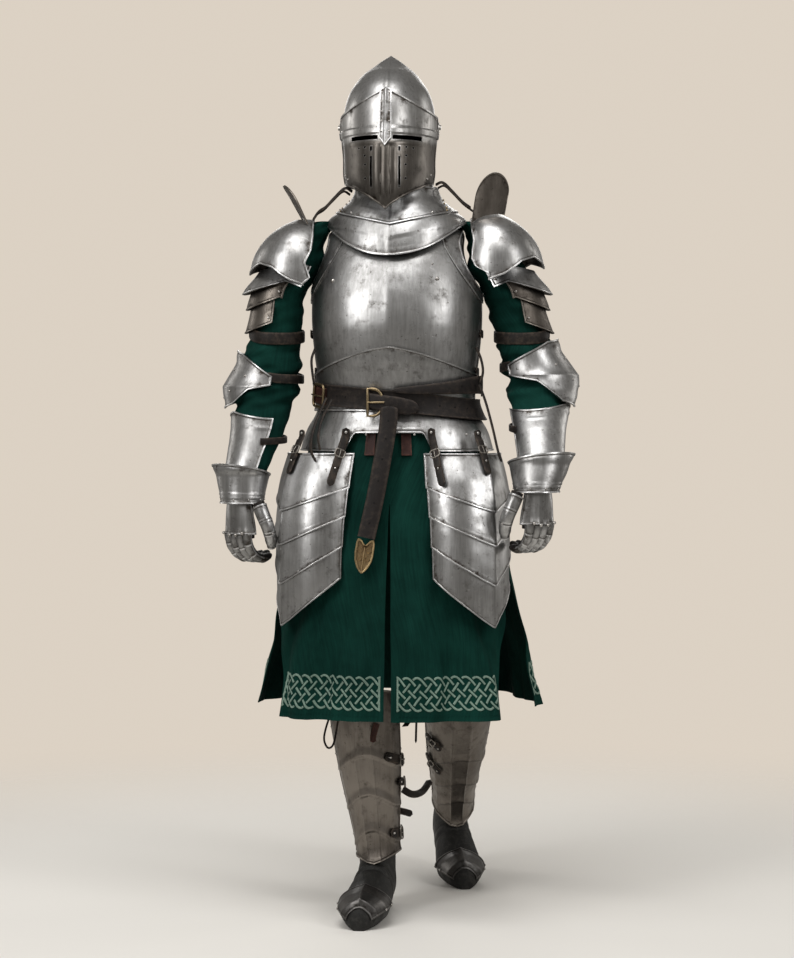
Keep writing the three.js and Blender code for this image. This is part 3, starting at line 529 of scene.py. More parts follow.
def metalWear():
    inputs = [("Edge", "Float"), ("Inside", "Float"), ("Bright", "Color"), ("Dull", "Color"), ("Patina", "Color"),
              ("Polish", "Float"), ("Stain", "Float")]
    outputs = [("Color", "Color"), ("Roughness", "Float"), ("Height", "Float")]
    tree, given, result = newGroup("metal wear", inputs, outputs)
    where = addNode(tree, "ShaderNodeTexCoord").outputs["Object"]
    clouds = noise(tree, where, 7.0, 4.0)
    blotches = noise(tree, where, 38.0, 6.0, 0.68)
    grain = noise(tree, where, 420.0, 2.0)
    long = addNode(tree, "ShaderNodeMapping", {"Vector": where, "Scale": (170, 170, 9)}).outputs[0]
    brushed = noise(tree, long, 1.0, 4.0, 0.7)
    scratchPlace = addNode(tree, "ShaderNodeMapping", {"Vector": where, "Rotation": (0.5, 0.9, 0.4),
                                                       "Scale": (14, 260, 60)})
    scratches = remap(tree, noise(tree, scratchPlace.outputs[0], 1.0, 2.0), 0.66, 0.74)
    pits = remap(tree, noise(tree, where, 150.0, 2.0, 0.4), 0.69, 0.76)
    tone = calc(tree, "ADD", calc(tree, "MULTIPLY", clouds, 0.8), calc(tree, "MULTIPLY", brushed, 0.35))
    colour = blendColours(tree, remap(tree, tone, 0.42, 0.76), given["Dull"], given["Bright"])
    nearEdge = remap(tree, given["Edge"], 0.003, 0.020, 1.0, 0.0)
    ragged = remap(tree, blotches, 0.38, 0.66)
    stain = calc(tree, "MULTIPLY", remap(tree, blotches, 0.50, 0.78), given["Stain"])
    stain = calc(tree, "ADD", stain, calc(tree, "MULTIPLY", nearEdge, calc(tree, "MULTIPLY", ragged, 0.75)),
                 clamp=True)
    colour = blendColours(tree, stain, colour, given["Patina"])
    colour = blendColours(tree, calc(tree, "MULTIPLY", pits, 0.7), colour, given["Patina"])
    # painted shadow: a dark band 4 to 7.5 mm in from every edge, beside the raised rim, drawn in the patina colour
    rimShadowBand = remap(tree, given["Edge"], 0.0040, 0.0075, 0.7, 0.0)
    colour = blendColours(tree, rimShadowBand, colour, given["Patina"])
    # brighter steel within about 4 mm of every edge: rubbed wear and a painted highlight on the rolled rim, broken up
    # by grain, with lower roughness there
    rimWearAndHighlight = remap(tree, given["Edge"], 0.0028, 0.0042, 1.0, 0.0)
    worn = calc(tree, "MULTIPLY", rimWearAndHighlight, remap(tree, grain, 0.3, 0.6, 0.55, 1.0))
    colour = blendColours(tree, worn, colour, given["Bright"])
    colour = blendColours(tree, calc(tree, "MULTIPLY", scratches, 0.35), colour, given["Bright"])
    dark = blendColours(tree, 1.0, colour, (0.30, 0.27, 0.24, 1), "MULTIPLY")
    tree.links.new(blendColours(tree, given["Inside"], colour, dark), result["Color"])
    rough = calc(tree, "ADD", given["Polish"], remap(tree, clouds, 0.3, 0.7, 0.06, -0.05))
    rough = calc(tree, "ADD", rough, calc(tree, "MULTIPLY", stain, 0.22))
    rough = calc(tree, "SUBTRACT", rough, calc(tree, "MULTIPLY", worn, 0.06), clamp=True)
    tree.links.new(rough, result["Roughness"])
    height = calc(tree, "ADD", calc(tree, "MULTIPLY", noise(tree, where, 26.0, 2.0), 0.9),
                  calc(tree, "MULTIPLY", brushed, 0.05))
    height = calc(tree, "SUBTRACT", height, calc(tree, "MULTIPLY", pits, 0.22))
    height = calc(tree, "ADD", height, calc(tree, "MULTIPLY", blotches, 0.10))
    tree.links.new(calc(tree, "SUBTRACT", height, calc(tree, "MULTIPLY", scratches, 0.05)), result["Height"])
    return tree


def clothWeave():
    inputs = [("Weave", "Vector"), ("Threads", "Float"), ("Base", "Color"), ("Worn", "Color"), ("Inside", "Float")]
    tree, given, result = newGroup("cloth weave", inputs, [("Color", "Color"), ("Roughness", "Float"),
                                                           ("Height", "Float")])
    parts = addNode(tree, "ShaderNodeSeparateXYZ", {"Vector": given["Weave"]}).outputs
    pitch = calc(tree, "MULTIPLY", given["Threads"], 2 * math.pi)
    across = calc(tree, "SINE", calc(tree, "MULTIPLY", parts["X"], pitch))
    along = calc(tree, "SINE", calc(tree, "MULTIPLY", parts["Y"], pitch))
    threads = calc(tree, "MULTIPLY", across, along)
    where = addNode(tree, "ShaderNodeTexCoord").outputs["Object"]
    slub = addNode(tree, "ShaderNodeMapping", {"Vector": given["Weave"], "Scale": (220, 12, 1)}).outputs[0]
    slubs = noise(tree, slub, 1.0, 3.0, 0.6)
    faded = noise(tree, where, 8.0, 4.0, 0.6)
    fuzz = noise(tree, where, 700.0, 2.0)
    tone = calc(tree, "ADD", calc(tree, "MULTIPLY", faded, 0.7), calc(tree, "MULTIPLY", slubs, 0.45))
    colour = blendColours(tree, remap(tree, tone, 0.38, 0.78), given["Base"], given["Worn"])
    shadow = blendColours(tree, 1.0, colour, (0.45, 0.45, 0.45, 1), "MULTIPLY")
    colour = blendColours(tree, remap(tree, threads, -1.0, 0.2, 0.45, 0.0), colour, shadow)
    tree.links.new(blendColours(tree, given["Inside"], colour, shadow), result["Color"])
    tree.links.new(remap(tree, fuzz, 0.3, 0.7, 0.84, 0.98), result["Roughness"])
    creases = noise(tree, where, 34.0, 3.0, 0.5)
    height = calc(tree, "ADD", calc(tree, "MULTIPLY", threads, 0.12), calc(tree, "MULTIPLY", fuzz, 0.18))
    height = calc(tree, "ADD", height, calc(tree, "MULTIPLY", slubs, 0.25))
    tree.links.new(calc(tree, "ADD", height, calc(tree, "MULTIPLY", creases, 1.5)), result["Height"])
    return tree


def leatherGrain():
    inputs = [("Edge", "Float"), ("Base", "Color"), ("Worn", "Color"), ("Wear", "Float"), ("Cell", "Float")]
    tree, given, result = newGroup("leather grain", inputs, [("Color", "Color"), ("Roughness", "Float"),
                                                             ("Height", "Float")])
    where = addNode(tree, "ShaderNodeTexCoord").outputs["Object"]
    cells = addNode(tree, "ShaderNodeTexVoronoi", {"Vector": where, "Scale": given["Cell"]}).outputs["Distance"]
    clouds = noise(tree, where, 14.0, 4.0, 0.6)
    rubbed = noise(tree, where, 90.0, 5.0, 0.65)
    creases = noise(tree, where, 45.0, 3.0, 0.6)
    nearEdge = remap(tree, given["Edge"], 0.0008, 0.0035, 1.0, 0.0)
    wear = calc(tree, "MULTIPLY", remap(tree, calc(tree, "ADD", rubbed, calc(tree, "MULTIPLY", clouds, 0.5)),
                                        0.70, 1.0), given["Wear"])
    wear = calc(tree, "ADD", wear, calc(tree, "MULTIPLY", nearEdge, remap(tree, rubbed, 0.35, 0.6, 0.15, 0.6)),
                clamp=True)
    colour = blendColours(tree, wear, given["Base"], given["Worn"])
    tree.links.new(colour, result["Color"])
    tree.links.new(calc(tree, "ADD", remap(tree, clouds, 0.3, 0.7, 0.50, 0.64),
                        calc(tree, "MULTIPLY", wear, 0.1)), result["Roughness"])
    height = calc(tree, "ADD", calc(tree, "MULTIPLY", cells, 0.5), calc(tree, "MULTIPLY", creases, 1.2))
    tree.links.new(height, result["Height"])
    return tree


groups = {"metal": metalWear(), "cloth": clothWeave(), "leather": leatherGrain()}


# A material around one of the groups; values are the group's own inputs.
def newMaterial(name, group, values, metallic=0.0, bump=0.3, depth=0.001, **shader):
    material = bpy.data.materials.new(name)
    material.use_nodes = True
    tree = material.node_tree
    surface = tree.nodes["Principled BSDF"]
    effect = addNode(tree, "ShaderNodeGroup", node_tree=groups[group])
    for key, value in values.items():
        effect.inputs[key].default_value = value
    for key, output in (("Edge", "Fac"), ("Inside", "Fac"), ("Weave", "Vector")):
        if key in effect.inputs:
            reader = addNode(tree, "ShaderNodeAttribute", attribute_name=key.lower())
            tree.links.new(reader.outputs[output], effect.inputs[key])
    tree.links.new(effect.outputs["Color"], surface.inputs["Base Color"])
    tree.links.new(effect.outputs["Roughness"], surface.inputs["Roughness"])
    bumps = addNode(tree, "ShaderNodeBump", {"Height": effect.outputs["Height"], "Strength": bump, "Distance": depth})
    tree.links.new(bumps.outputs["Normal"], surface.inputs["Normal"])
    surface.inputs["Metallic"].default_value = metallic
    for key, value in shader.items():
        surface.inputs[key.replace("_", " ")].default_value = value
    material.diffuse_color = tuple(list(values.items())[0][1])
    return material


def metal(name, bright, dull, patina, polish, stain, bump=0.35):
    values = {"Bright": (*bright, 1), "Dull": (*dull, 1), "Patina": (*patina, 1), "Polish": polish, "Stain": stain}
    return newMaterial(name, "metal", values, metallic=1.0, bump=bump, depth=0.002)


def hide(name, base, worn, wear=0.6, cell=420.0, bump=0.35):
    values = {"Base": (*base, 1), "Worn": (*worn, 1), "Wear": wear, "Cell": cell}
    return newMaterial(name, "leather", values, bump=bump, depth=0.0015, Specular_IOR_Level=0.22)


agedSteel = metal("aged steel", (0.56, 0.56, 0.56), (0.27, 0.267, 0.262), (0.055, 0.046, 0.038), 0.36, 0.75)
greaveSteel = metal("greave steel", (0.21, 0.188, 0.165), (0.115, 0.10, 0.087), (0.036, 0.029, 0.024), 0.42, 0.75)
visorSteel = metal("dulled visor steel", (0.56, 0.555, 0.55), (0.27, 0.265, 0.255), (0.05, 0.042, 0.035), 0.36, 0.8)
toeSteel = metal("dark toe steel", (0.14, 0.135, 0.13), (0.065, 0.062, 0.06), (0.02, 0.018, 0.016), 0.38, 0.6)
rivetSteel = metal("rivet steel", (0.62, 0.60, 0.57), (0.38, 0.36, 0.34), (0.12, 0.10, 0.08), 0.30, 0.4, 0.15)
oldBrass = metal("antique brass", (0.44, 0.34, 0.20), (0.23, 0.175, 0.105), (0.05, 0.038, 0.026), 0.36, 0.7, 0.3)
bronze = metal("cast bronze", (0.52, 0.38, 0.20), (0.29, 0.20, 0.105), (0.07, 0.045, 0.024), 0.36, 0.6, 0.3)
buckleSteel = metal("buckle iron", (0.30, 0.28, 0.25), (0.15, 0.135, 0.12), (0.05, 0.04, 0.032), 0.36, 0.6, 0.3)
beltLeather = hide("belt leather", (0.012, 0.0095, 0.0088), (0.05, 0.038, 0.03), 0.45)
redLeather = hide("red-brown leather", (0.030, 0.011, 0.0085), (0.085, 0.035, 0.025), 0.55)
strapLeather = hide("strap leather", (0.012, 0.0095, 0.008), (0.06, 0.045, 0.034), 0.6)
bootLeather = hide("boot leather", (0.014, 0.0138, 0.0128), (0.06, 0.057, 0.052), 0.5, 300.0, 0.5)
# punched holes are drawn as flat near-black discs on the leather: painted shade standing in for the depth of each
# hole
holeShade = hide("painted hole shade", (0.004, 0.003, 0.003), (0.006, 0.005, 0.004), 0.1)
tunicCloth = newMaterial("green wool", "cloth", {"Base": (0.0028, 0.021, 0.0165, 1), "Worn": (0.006, 0.042, 0.032, 1),
                         "Threads": 850.0}, bump=0.45, depth=0.0012, Specular_IOR_Level=0.05)
hemThread = newMaterial("sage thread", "cloth", {"Base": (0.13, 0.20, 0.16, 1), "Worn": (0.22, 0.32, 0.26, 1),
                        "Threads": 1400.0}, bump=0.3, depth=0.0006, Sheen_Weight=0.1)
print("finishes made")

# Legs and boots: the flexing comes first, because the frames of the feet need it

ankleZ = 100
ballY = -150
legs = {
    "R": {"at": (-44, 26, 0), "yaw": -9, "pitch": 0, "lean": 0, "sway": -5.6, "rim": 52},
    "L": {"at": (123, 470, 0), "yaw": 8, "pitch": 18, "lean": 18, "sway": -3.5, "rim": 38},
}


# The shaft leans about the ankle, then the foot lifts about the ball.
def flexed(points, pitch, lean):
    x, y, z = points[..., 0], points[..., 1], points[..., 2]
    bend = np.radians(lean) * smooth((z - ankleZ + 20) / 70)
    above = z - ankleZ
    y, z = y * np.cos(bend) - above * np.sin(bend), ankleZ + y * np.sin(bend) + above * np.cos(bend)
    lift = np.radians(pitch) * smooth((y - ballY + 35) / 70)
    behind = y - ballY
    return np.stack([x, ballY + behind * np.cos(lift) - z * np.sin(lift),
                     behind * np.sin(lift) + z * np.cos(lift)], -1)


spots = places()

# Helmet

skullForm = makeForm([
    (1580, 0, 0, 93, 116, 110), (1629, 0, 0, 92, 123, 121), (1692, 0, 0, 97, 130, 132), (1729, 0, 0, 98, 129, 135),
    (1751, 0, 0, 96, 123, 134), (1777, 0, 0, 88, 110, 129), (1801, 0, 6, 75, 97, 113), (1825, 0, 20, 57, 77, 86),
    (1843, 0, 38, 38, 42, 52), (1858, 0, 46, 20, 22, 28), (1868, 0, 50, 5, 6, 7),
])
visorForm = makeForm([
    (1515, 0, 0, 70, 147, 60), (1560, 0, 0, 89, 158, 60), (1600, 0, 0, 98, 161, 60), (1640, 0, 0, 99, 158, 60),
    (1672, 0, 0, 102, 151, 60), (1708, 0, 0, 105, 143, 60), (1750, 0, 0, 103, 135, 60), (1785, 0, 0, 96, 123, 60),
], 1.9)
helmet = {
    "keelRise": 2.6, "keelSpread": 3.4, "visorReach": 84, "browRise": 3.0, "sightFrom": 15.5, "sightTo": 75,
    "slotAt": 30, "slotWide": 4.6, "grooveAt": 10.5, "holeRadius": 2.3, "bossRadius": 12,
}


def skullSurface(u, v):
    angle, z = 360 * u, 1580 + 288 * v
    fromFront = np.abs((angle + 180) % 360 - 180)
    keel = hump(fromFront, 0, helmet["keelSpread"]) + hump(fromFront, 180, helmet["keelSpread"])
    rise = helmet["keelRise"] * keel * smooth((z - 1640) / 60) * smooth((1880 - z) / 30)
    return formPoint(skullForm, angle, z, rise)


def visorSurface(u, v, reach=helmet["visorReach"], extra=0.0):
    angle = reach * (2 * u - 1)
    low, top = 1520 + 62 * sine(angle), 1780 - 53 * sine(angle)
    z = low + (top - low) * v
    x = formPoint(visorForm, angle, z)[..., 0]
    face = smooth((1660 - z) / 12) * smooth((z - 1535) / 20)
    lift = helmet["browRise"] * smooth((z - 1679) / 3) * smooth((1697 - z) / 4)
    lift = lift + 1.6 * smooth((1667 - z) / 3) * smooth((z - 1655) / 4) * smooth((82 - np.abs(x)) / 6)
    lift = lift + face * (1.8 * hump(x, 0, 6) - 1.9 * hump(np.abs(x), helmet["grooveAt"], 1.5))
    lift = lift + face * 1.2 * hump(np.abs(x), 20, 5)
    lift = lift + 2.4 * hump(x, 0, 2.5) * smooth((1560 - z) / 20)
    return formPoint(visorForm, angle, z, lift + extra)


def helmetPieces():
    tip = np.array([(0, 50, 1871), (0, 50, 1868)], float)
    skull = meshObject("helmetSkull", shell(skullSurface, wrap=True, step=4.5, poleTop=tip, rim=1.6), "head")
    cutWith(skull, boxPart((-78, -200, 1500), (78, -22, 1737)), "head")
    finishPiece(skull, agedSteel, "steel", ["helmet_skull"])

    visor = meshObject("visorPlate", shell(visorSurface, step=3.0, rim=2.2), "head")
    shade = visor.data.attributes["inside"].data
    for vertex, value in zip(visor.data.vertices, shade):
        value.value = max(value.value, 0.92 * float(smooth((1676 - 1000 * (vertex.co.z - floorZ)) / 16)))
    cutters = []
    for side in (-1, 1):
        near, far = sorted((side * helmet["sightFrom"], side * helmet["sightTo"]))
        cutters.append(boxPart((near, -200, 1667.5), (far, -60, 1677)))
        half = helmet["slotWide"] / 2
        cutters.append(boxPart((side * helmet["slotAt"] - half, -200, 1566), (side * helmet["slotAt"] + half,
            -60, 1632)))
        cutters.append(boxPart((side * helmet["slotAt"] - half, -200, 1643), (side * helmet["slotAt"] + half,
            -60, 1653)))
        for x, z in ((44, 1652), (44, 1634), (43, 1615), (43, 1586), (58, 1651)):
            cutters.append(tube([(side * x, -200, z), (side * x, -60, z)], helmet["holeRadius"], 10))
    cutWith(visor, joined(cutters), "head")
    finishPiece(visor, visorSteel, "dark_steel", ["visor"], "visor")

    def stripSurface(u, v):
        angle = 7.7 * (2 * u - 1)
        low, top = 1653 + 2.4 * np.abs(angle), 1782 - 53 * sine(angle)
        z = low + (top - low) * v
        point = formPoint(visorForm, angle, z)
        return formPoint(visorForm, angle, z, 3.4 + 2.8 * hump(point[..., 0], 0, 3) + 1.5 * smooth((1690 - z) / 25))

    strip = meshObject("visorNasalStrip", shell(stripSurface, step=2.5, rim=0.9, beaten=0.1), "head")
    finishPiece(strip, agedSteel, "steel", ["visor_brow_strip"], "visor")
    for z in (1768, 1748, 1727, 1706, 1684):
        for side in (-1, 1):
            dotOnForm("rivet", "head", visorForm, side * 4.9, z, 5.2, 1.9, "visor")
    for side in (-1, 1):
        for angle, z in ((70, 1600), (62, 1590), (76, 1696), (76, 1722)):
            dotOnForm("rivet", "head", visorForm, side * angle, z, 0.6, 2.6, "visor")
        for angle in (100, 118, 136, 154, 172):
            dotOnForm("rivet", "head", skullForm, side * angle, 1596, 0.6, 2.6)
        bossX = side * 105
        boss = [tube([(bossX, 0, 1708), (bossX + side * 3.5, 0, 1708)],
                     [helmet["bossRadius"], helmet["bossRadius"] - 2], 24),
                tube([(bossX + side * 3, 0, 1708), (bossX + side * 7, 0, 1708)], [6.5, 5], 16)]
        addPiece("visorPivot" + ("L" if side > 0 else "R"), boss, "head", rivetSteel, "steel")


helmetPieces()
print("helmet made")

# Gorget

gorgetForm = makeForm([
    (1420, 0, 0, 150, 143, 124), (1450, 0, 0, 152, 139, 122), (1485, 0, 0, 151, 129, 116),
    (1510, 0, 0, 146, 117, 108),
    (1528, 0, 0, 122, 107, 99), (1550, 0, 0, 96, 99, 92), (1580, 0, 0, 83, 92, 86),
])


def collarSeam(angle):
    return 1490 + 34 * sine(angle)


def formSurface(form, low, top, start=0.0, end=360.0, out=0.0, side=1):
    def surface(u, v):
        angle = start + (end - start) * u if side > 0 else end + (start - end) * u
        bottom = valueOf(low, angle)
        z = bottom + (valueOf(top, angle) - bottom) * v
        return formPoint(form, side * angle, z, valueOf(out, angle, z))
    return surface


# Two fine lines beside an edge, as on the rims of the collar and the cuffs.
def doubleLine(first, second, rise=0.9):
    return lambda low, top, start, end: rise * (hump(low, first, 1.3) + hump(low, second, 1.3))


def gorgetPieces():
    keel = lambda angle: 1.6 * hump(np.abs((angle + 180) % 360 - 180), 0, 2.2)
    upper = formSurface(gorgetForm, collarSeam, 1576, out=lambda angle, z: 5 + keel(angle))
    addPiece("gorgetUpper", shell(upper, wrap=True, step=4, rim=1.3, border=doubleLine(26, 29)), "trunk",
             agedSteel, "steel",
             ["gorget_upper"])
    lower = formSurface(gorgetForm, lambda angle: 1424 + 74 * sine(angle) ** 2.2, lambda angle: collarSeam(angle) + 9,
                        out=lambda angle, z: keel(angle) + 1.4 * smooth((z - collarSeam(angle) + 32) / 2))
    addPiece("gorgetLower", shell(lower, wrap=True, step=4, rim=1.6, border=doubleLine(9, 12)), "trunk",
             agedSteel, "steel",
             ["gorget_lower"])
    for side in (-1, 1):
        for angle, z in ((66, 1531), (74, 1541), (83, 1549), (94, 1551), (60, 1524)):
            dotOnForm("brassRivet", "trunk", gorgetForm, side * angle, z, 6, 2.4)
        for angle in (38, 72, 108, 142):
            dotOnForm("rivet", "trunk", gorgetForm, side * angle, float(collarSeam(angle)) + 7, 6.2, 2.2)


gorgetPieces()

# Cuirass: breastplate, plackart, backplate and fauld

trunkForm = makeForm([
    (990, 0, 0, 209, 159, 144), (1020, 0, 0, 205, 155, 139), (1055, 0, 0, 195, 147, 129), (1085, 0, 0, 178, 136, 116),
    (1115, 0, 0, 168, 132, 110), (1150, 0, 0, 170, 138, 112), (1210, 0, 0, 178, 152, 120),
    (1280, 0, 0, 184, 160, 126),
    (1350, 0, 0, 183, 150, 126), (1410, 0, 0, 173, 130, 118), (1450, 0, 0, 160, 108, 106), (1480, 0, 0, 141, 84, 92),
    (1500, 0, 0, 102, 66, 74),
], 2.2)
cuirass = {"holeDeep": 70, "holeHigh": 66, "holeY": 2, "holeZ": 1415, "bandWide": 24, "bandOut": 2.2, "crease": 3.4}


def armholeCutter(side, grow=0):
    deep, high = cuirass["holeDeep"] + grow, cuirass["holeHigh"] + grow
    turn = np.linspace(0, 2 * np.pi, 64, endpoint=False)
    rings = [[(x, cuirass["holeY"] + deep * math.cos(t), cuirass["holeZ"] + high * math.sin(t)) for t in turn]
             for x in (side * 100, side * 260)]
    return loft(rings)


# Where the side of the trunk is, above a point of its side view.
def trunkSide(y, z, out, side):
    x, middle, wide, front, back = np.moveaxis(sectionAt(trunkForm, z), -1, 0)
    depth = np.where(y < middle, front, back)
    share = np.clip(np.abs((y - middle) / depth), 0, 0.985)
    return np.stack([side * (wide * (1 - share**2.2) ** (1 / 2.2) + out), y, z], -1)


def armholeBand(side, towards):
    def surface(u, v):
        turn = np.radians(6 + 168 * u)
        spread = cuirass["bandWide"] * (1 - v)
        y = cuirass["holeY"] - towards * (cuirass["holeDeep"] + spread) * np.sin(turn)
        z = cuirass["holeZ"] + (cuirass["holeHigh"] + spread * 0.95) * np.cos(turn)
        return trunkSide(y, np.minimum(z, 1482), cuirass["bandOut"] + 1.2 * v, side)
    line = lambda low, top, start, end: 0.8 * hump(low, 7, 1.3)
    return shell(surface, thick=1.6, step=3, rim=1.3, facing=(side, 0, 0), beaten=0.1, border=line)


def cuirassPieces():
    def crease(angle, z):
        strength = smooth((z - 1225) / 110) * smooth((1490 - z) / 30)
        return cuirass["crease"] * strength * np.exp(-np.abs(angle) / 4.5)

    breast = meshObject("breastPlate", shell(formSurface(trunkForm, 1128, 1484, -87, 87, out=crease), step=4.5),
                        "trunk")
    back = meshObject("backPlate", shell(formSurface(trunkForm, 1128, 1484, 93, 267, out=lambda angle, z: 4.0 * (
        hump(angle, 148, 22) + hump(angle, 212, 22)) * hump(z, 1385, 75) - 2.5 * hump(angle, 180, 9) * hump(z,
            1300, 130)),
        step=5), "trunk")
    for plate, towards, node in ((breast, 1, "breastplate"), (back, -1, "backplate")):
        cutWith(plate, joined([armholeCutter(-1), armholeCutter(1)]), "trunk")
        finishPiece(plate, agedSteel, "steel", [node])
        for side in (-1, 1):
            addPiece("armholeBand" + ("Front" if towards > 0 else "Back") + "LR"[side < 0],
                     armholeBand(side, towards), "trunk",
                     agedSteel, "steel")

    plackart = formSurface(trunkForm, 1094, lambda angle: 1231 - 58 * sine(angle) ** 1.3, -82, 82, out=5)
    addPiece("plackart", shell(plackart, step=4.5, rim=2.4), "trunk", agedSteel, "steel", ["plackart"])
    fauldEdge = lambda angle: 1008 + 39 * (1 - smooth((np.abs(angle) - 19) / 6))
    fauld = formSurface(trunkForm, fauldEdge, 1104, -180, 180, out=lambda angle,
                        z: np.where(z > 1060, 0, 3 * (1060 - z) / 60))
    addPiece("fauld", shell(fauld, step=4, wrap=True, rim=1.8, border=doubleLine(9, 100)), "trunk", agedSteel,
             "steel", ["fauld"])

    for angle, z, radius in ((-42, 1372, 4.6), (32, 1374, 4.6), (29, 1406, 2.2), (84, 1262, 3.6), (-84, 1262, 3.6),
                             (84, 1180, 3.2), (-84, 1180, 3.2)):
        dotOnForm("rivet", "trunk", trunkForm, angle, z, 0.8, radius)
    for side in (-1, 1):
        for angle, z in ((104, 1262), (104, 1180), (130, 1470)):
            dotOnForm("rivet", "trunk", trunkForm, side * angle, z, 1.0, 3.6)
    for angle in (-60, 52, -12, 14):
        dotOnForm("rivet", "trunk", trunkForm, angle, 1044, 2.0, 2.6)


cuirassPieces()
print("cuirass made")

# Belt

belt = {"out": 13.5, "half": 22, "thick": 4, "tailWide": 38}


def beltMiddle(angle):
    return 1115 - 18 * np.sin(np.radians(angle))


def trunkPath(pairs, out, count=24):
    knots = curveThrough([(angle, z, 0) for angle, z in pairs], count)
    outs = np.interp(np.linspace(0, 1, count), np.linspace(0, 1, len(out)), out) if np.ndim(out) else out
    path = formPoint(trunkForm, knots[:, 0], knots[:, 1], outs)
    facing = formPoint(trunkForm, knots[:, 0], knots[:, 1], np.asarray(outs) + 10) - path
    return path, facing / np.linalg.norm(facing, axis=1, keepdims=True)


# A buckle frame: a bar bent round a loop of the given outline, with a prong over it.
def buckleFrame(centre, right, up, facing, halfWide, halfHigh, bar, square=4.0, prong=True):
    centre, right, up, facing = (np.array(item, float) for item in (centre, right, up, facing))
    turn = np.linspace(0, 2 * np.pi, 40, endpoint=False)
    c, s = np.cos(turn), np.sin(turn)
    x = halfWide * np.sign(c) * np.abs(c) ** (2 / square)
    y = halfHigh * np.sign(s) * np.abs(s) ** (2 / square)
    loop = centre + x[:, None] * right + y[:, None] * up
    parts = [tube(loop, bar, 10, loop=True, up=facing)]
    if prong:
        start, end = centre + right * halfWide, centre - right * (halfWide + bar)
        middle = centre + facing * bar * 1.4
        parts.append(tube(curveThrough([start, middle, end + facing * bar], 12), bar * 0.62, 8, up=facing))
    return parts


def beltPieces():
    start = formSurface(trunkForm, lambda angle: beltMiddle(angle) - belt["half"],
                        lambda angle: beltMiddle(angle) + belt["half"],
                        out=belt["out"] - 0.5)
    addPiece("beltBand", shell(start, thick=belt["thick"] - 0.5, step=5, wrap=True, rim=0.5, beaten=0.4),
             "trunk", beltLeather,
             "leather", ["belt"])
    path, facing = trunkPath([(2, 1137), (20, 1139), (42, 1143), (62, 1148), (82, 1150), (96, 1146)],
                             (15, 18, 18, 18, 17, 13), 40)
    width = np.interp(np.linspace(0, 1, 40), [0, 0.15, 0.6, 1], [10, 17, 36, 44])
    parts = [strap(path, facing, width, 3.2, startTip=12)]
    path, facing = trunkPath([(-13, 1118), (-2, 1110), (8, 1104), (18, 1099)], (19, 22, 20.5, 18.5), 24)
    parts.append(strap(path, facing, np.interp(np.linspace(0, 1, 24), [0, 0.5, 1], [30, 36, 30]), 3.2, tip=22))
    addPiece("beltUpperStrap", parts, "trunk", beltLeather, "leather")

    # square buckle at the wearer's right with its red-brown keeper
    path, facing = trunkPath([(-67, 1130), (-58, 1127), (-49, 1124)], 15.5, 16)
    addPiece("beltKeeper", strap(path, facing, 36, 3.4), "trunk", redLeather, "leather")
    middle, face = path[8], facing[8]
    right = (path[15] - path[0]) / np.linalg.norm(path[15] - path[0])
    addPiece("beltSquareBuckle", buckleFrame(middle + face * 5, right, -np.cross(face, right), face, 21, 24,
                                             3.0, 5), "trunk",
             oldBrass, "brass")

    # the big ring in the middle, a D with its straight bar to the wearer's right
    ring = np.array([(-46 + 2 + 32 * max(math.cos(t), 0) ** 0.55, -153, 1112 + 29 * math.sin(t))
                     for t in np.linspace(-math.pi / 2, math.pi / 2, 25)])
    parts = [tube(np.vstack([ring, [[-44, -153, 1125], [-44, -153, 1112], [-44, -153, 1099]]]), 3.2, 10,
                  loop=True, up=(0, 1, 0)),
             tube(curveThrough([(-44, -155, 1112), (-28, -160, 1112), (-8, -158, 1112)], 10), 2.2, 8)]
    addPiece("beltRing", parts, "trunk", oldBrass, "brass", ["belt_buckle"])

    for angle in (-38, -30, 34, 47, 60, 74):
        dotOnForm("hole", "trunk", trunkForm, angle, float(beltMiddle(angle)), belt["out"] + 0.3, 2.2)
    for angle, z in ((-4, 1112), (7, 1106), (52, 1147), (68, 1149)):
        dotOnForm("hole", "trunk", trunkForm, angle, z, belt["out"] + 8.6, 2.0)

    # the hanging end: a slow curve, six holes and a cast strap end
    tail = curveThrough([(4, -166, 1104), (2, -170, 1064), (-9, -180, 990), (-24, -190, 905), (-41, -198, 827)], 60)
    addPiece("beltTail", strap(tail, (0, -1, 0.1), belt["tailWide"], belt["thick"], startTip=6), "trunk",
             beltLeather, "leather",
             ["belt_tail"])
    for share in (0.22, 0.36, 0.50, 0.64, 0.77, 0.90):
        place = tail[int(share * 59)]
        dot("hole", "trunk", place + np.array([0, -4.4, 0]), (0, -1, 0), 2.5)
    strapEnd()


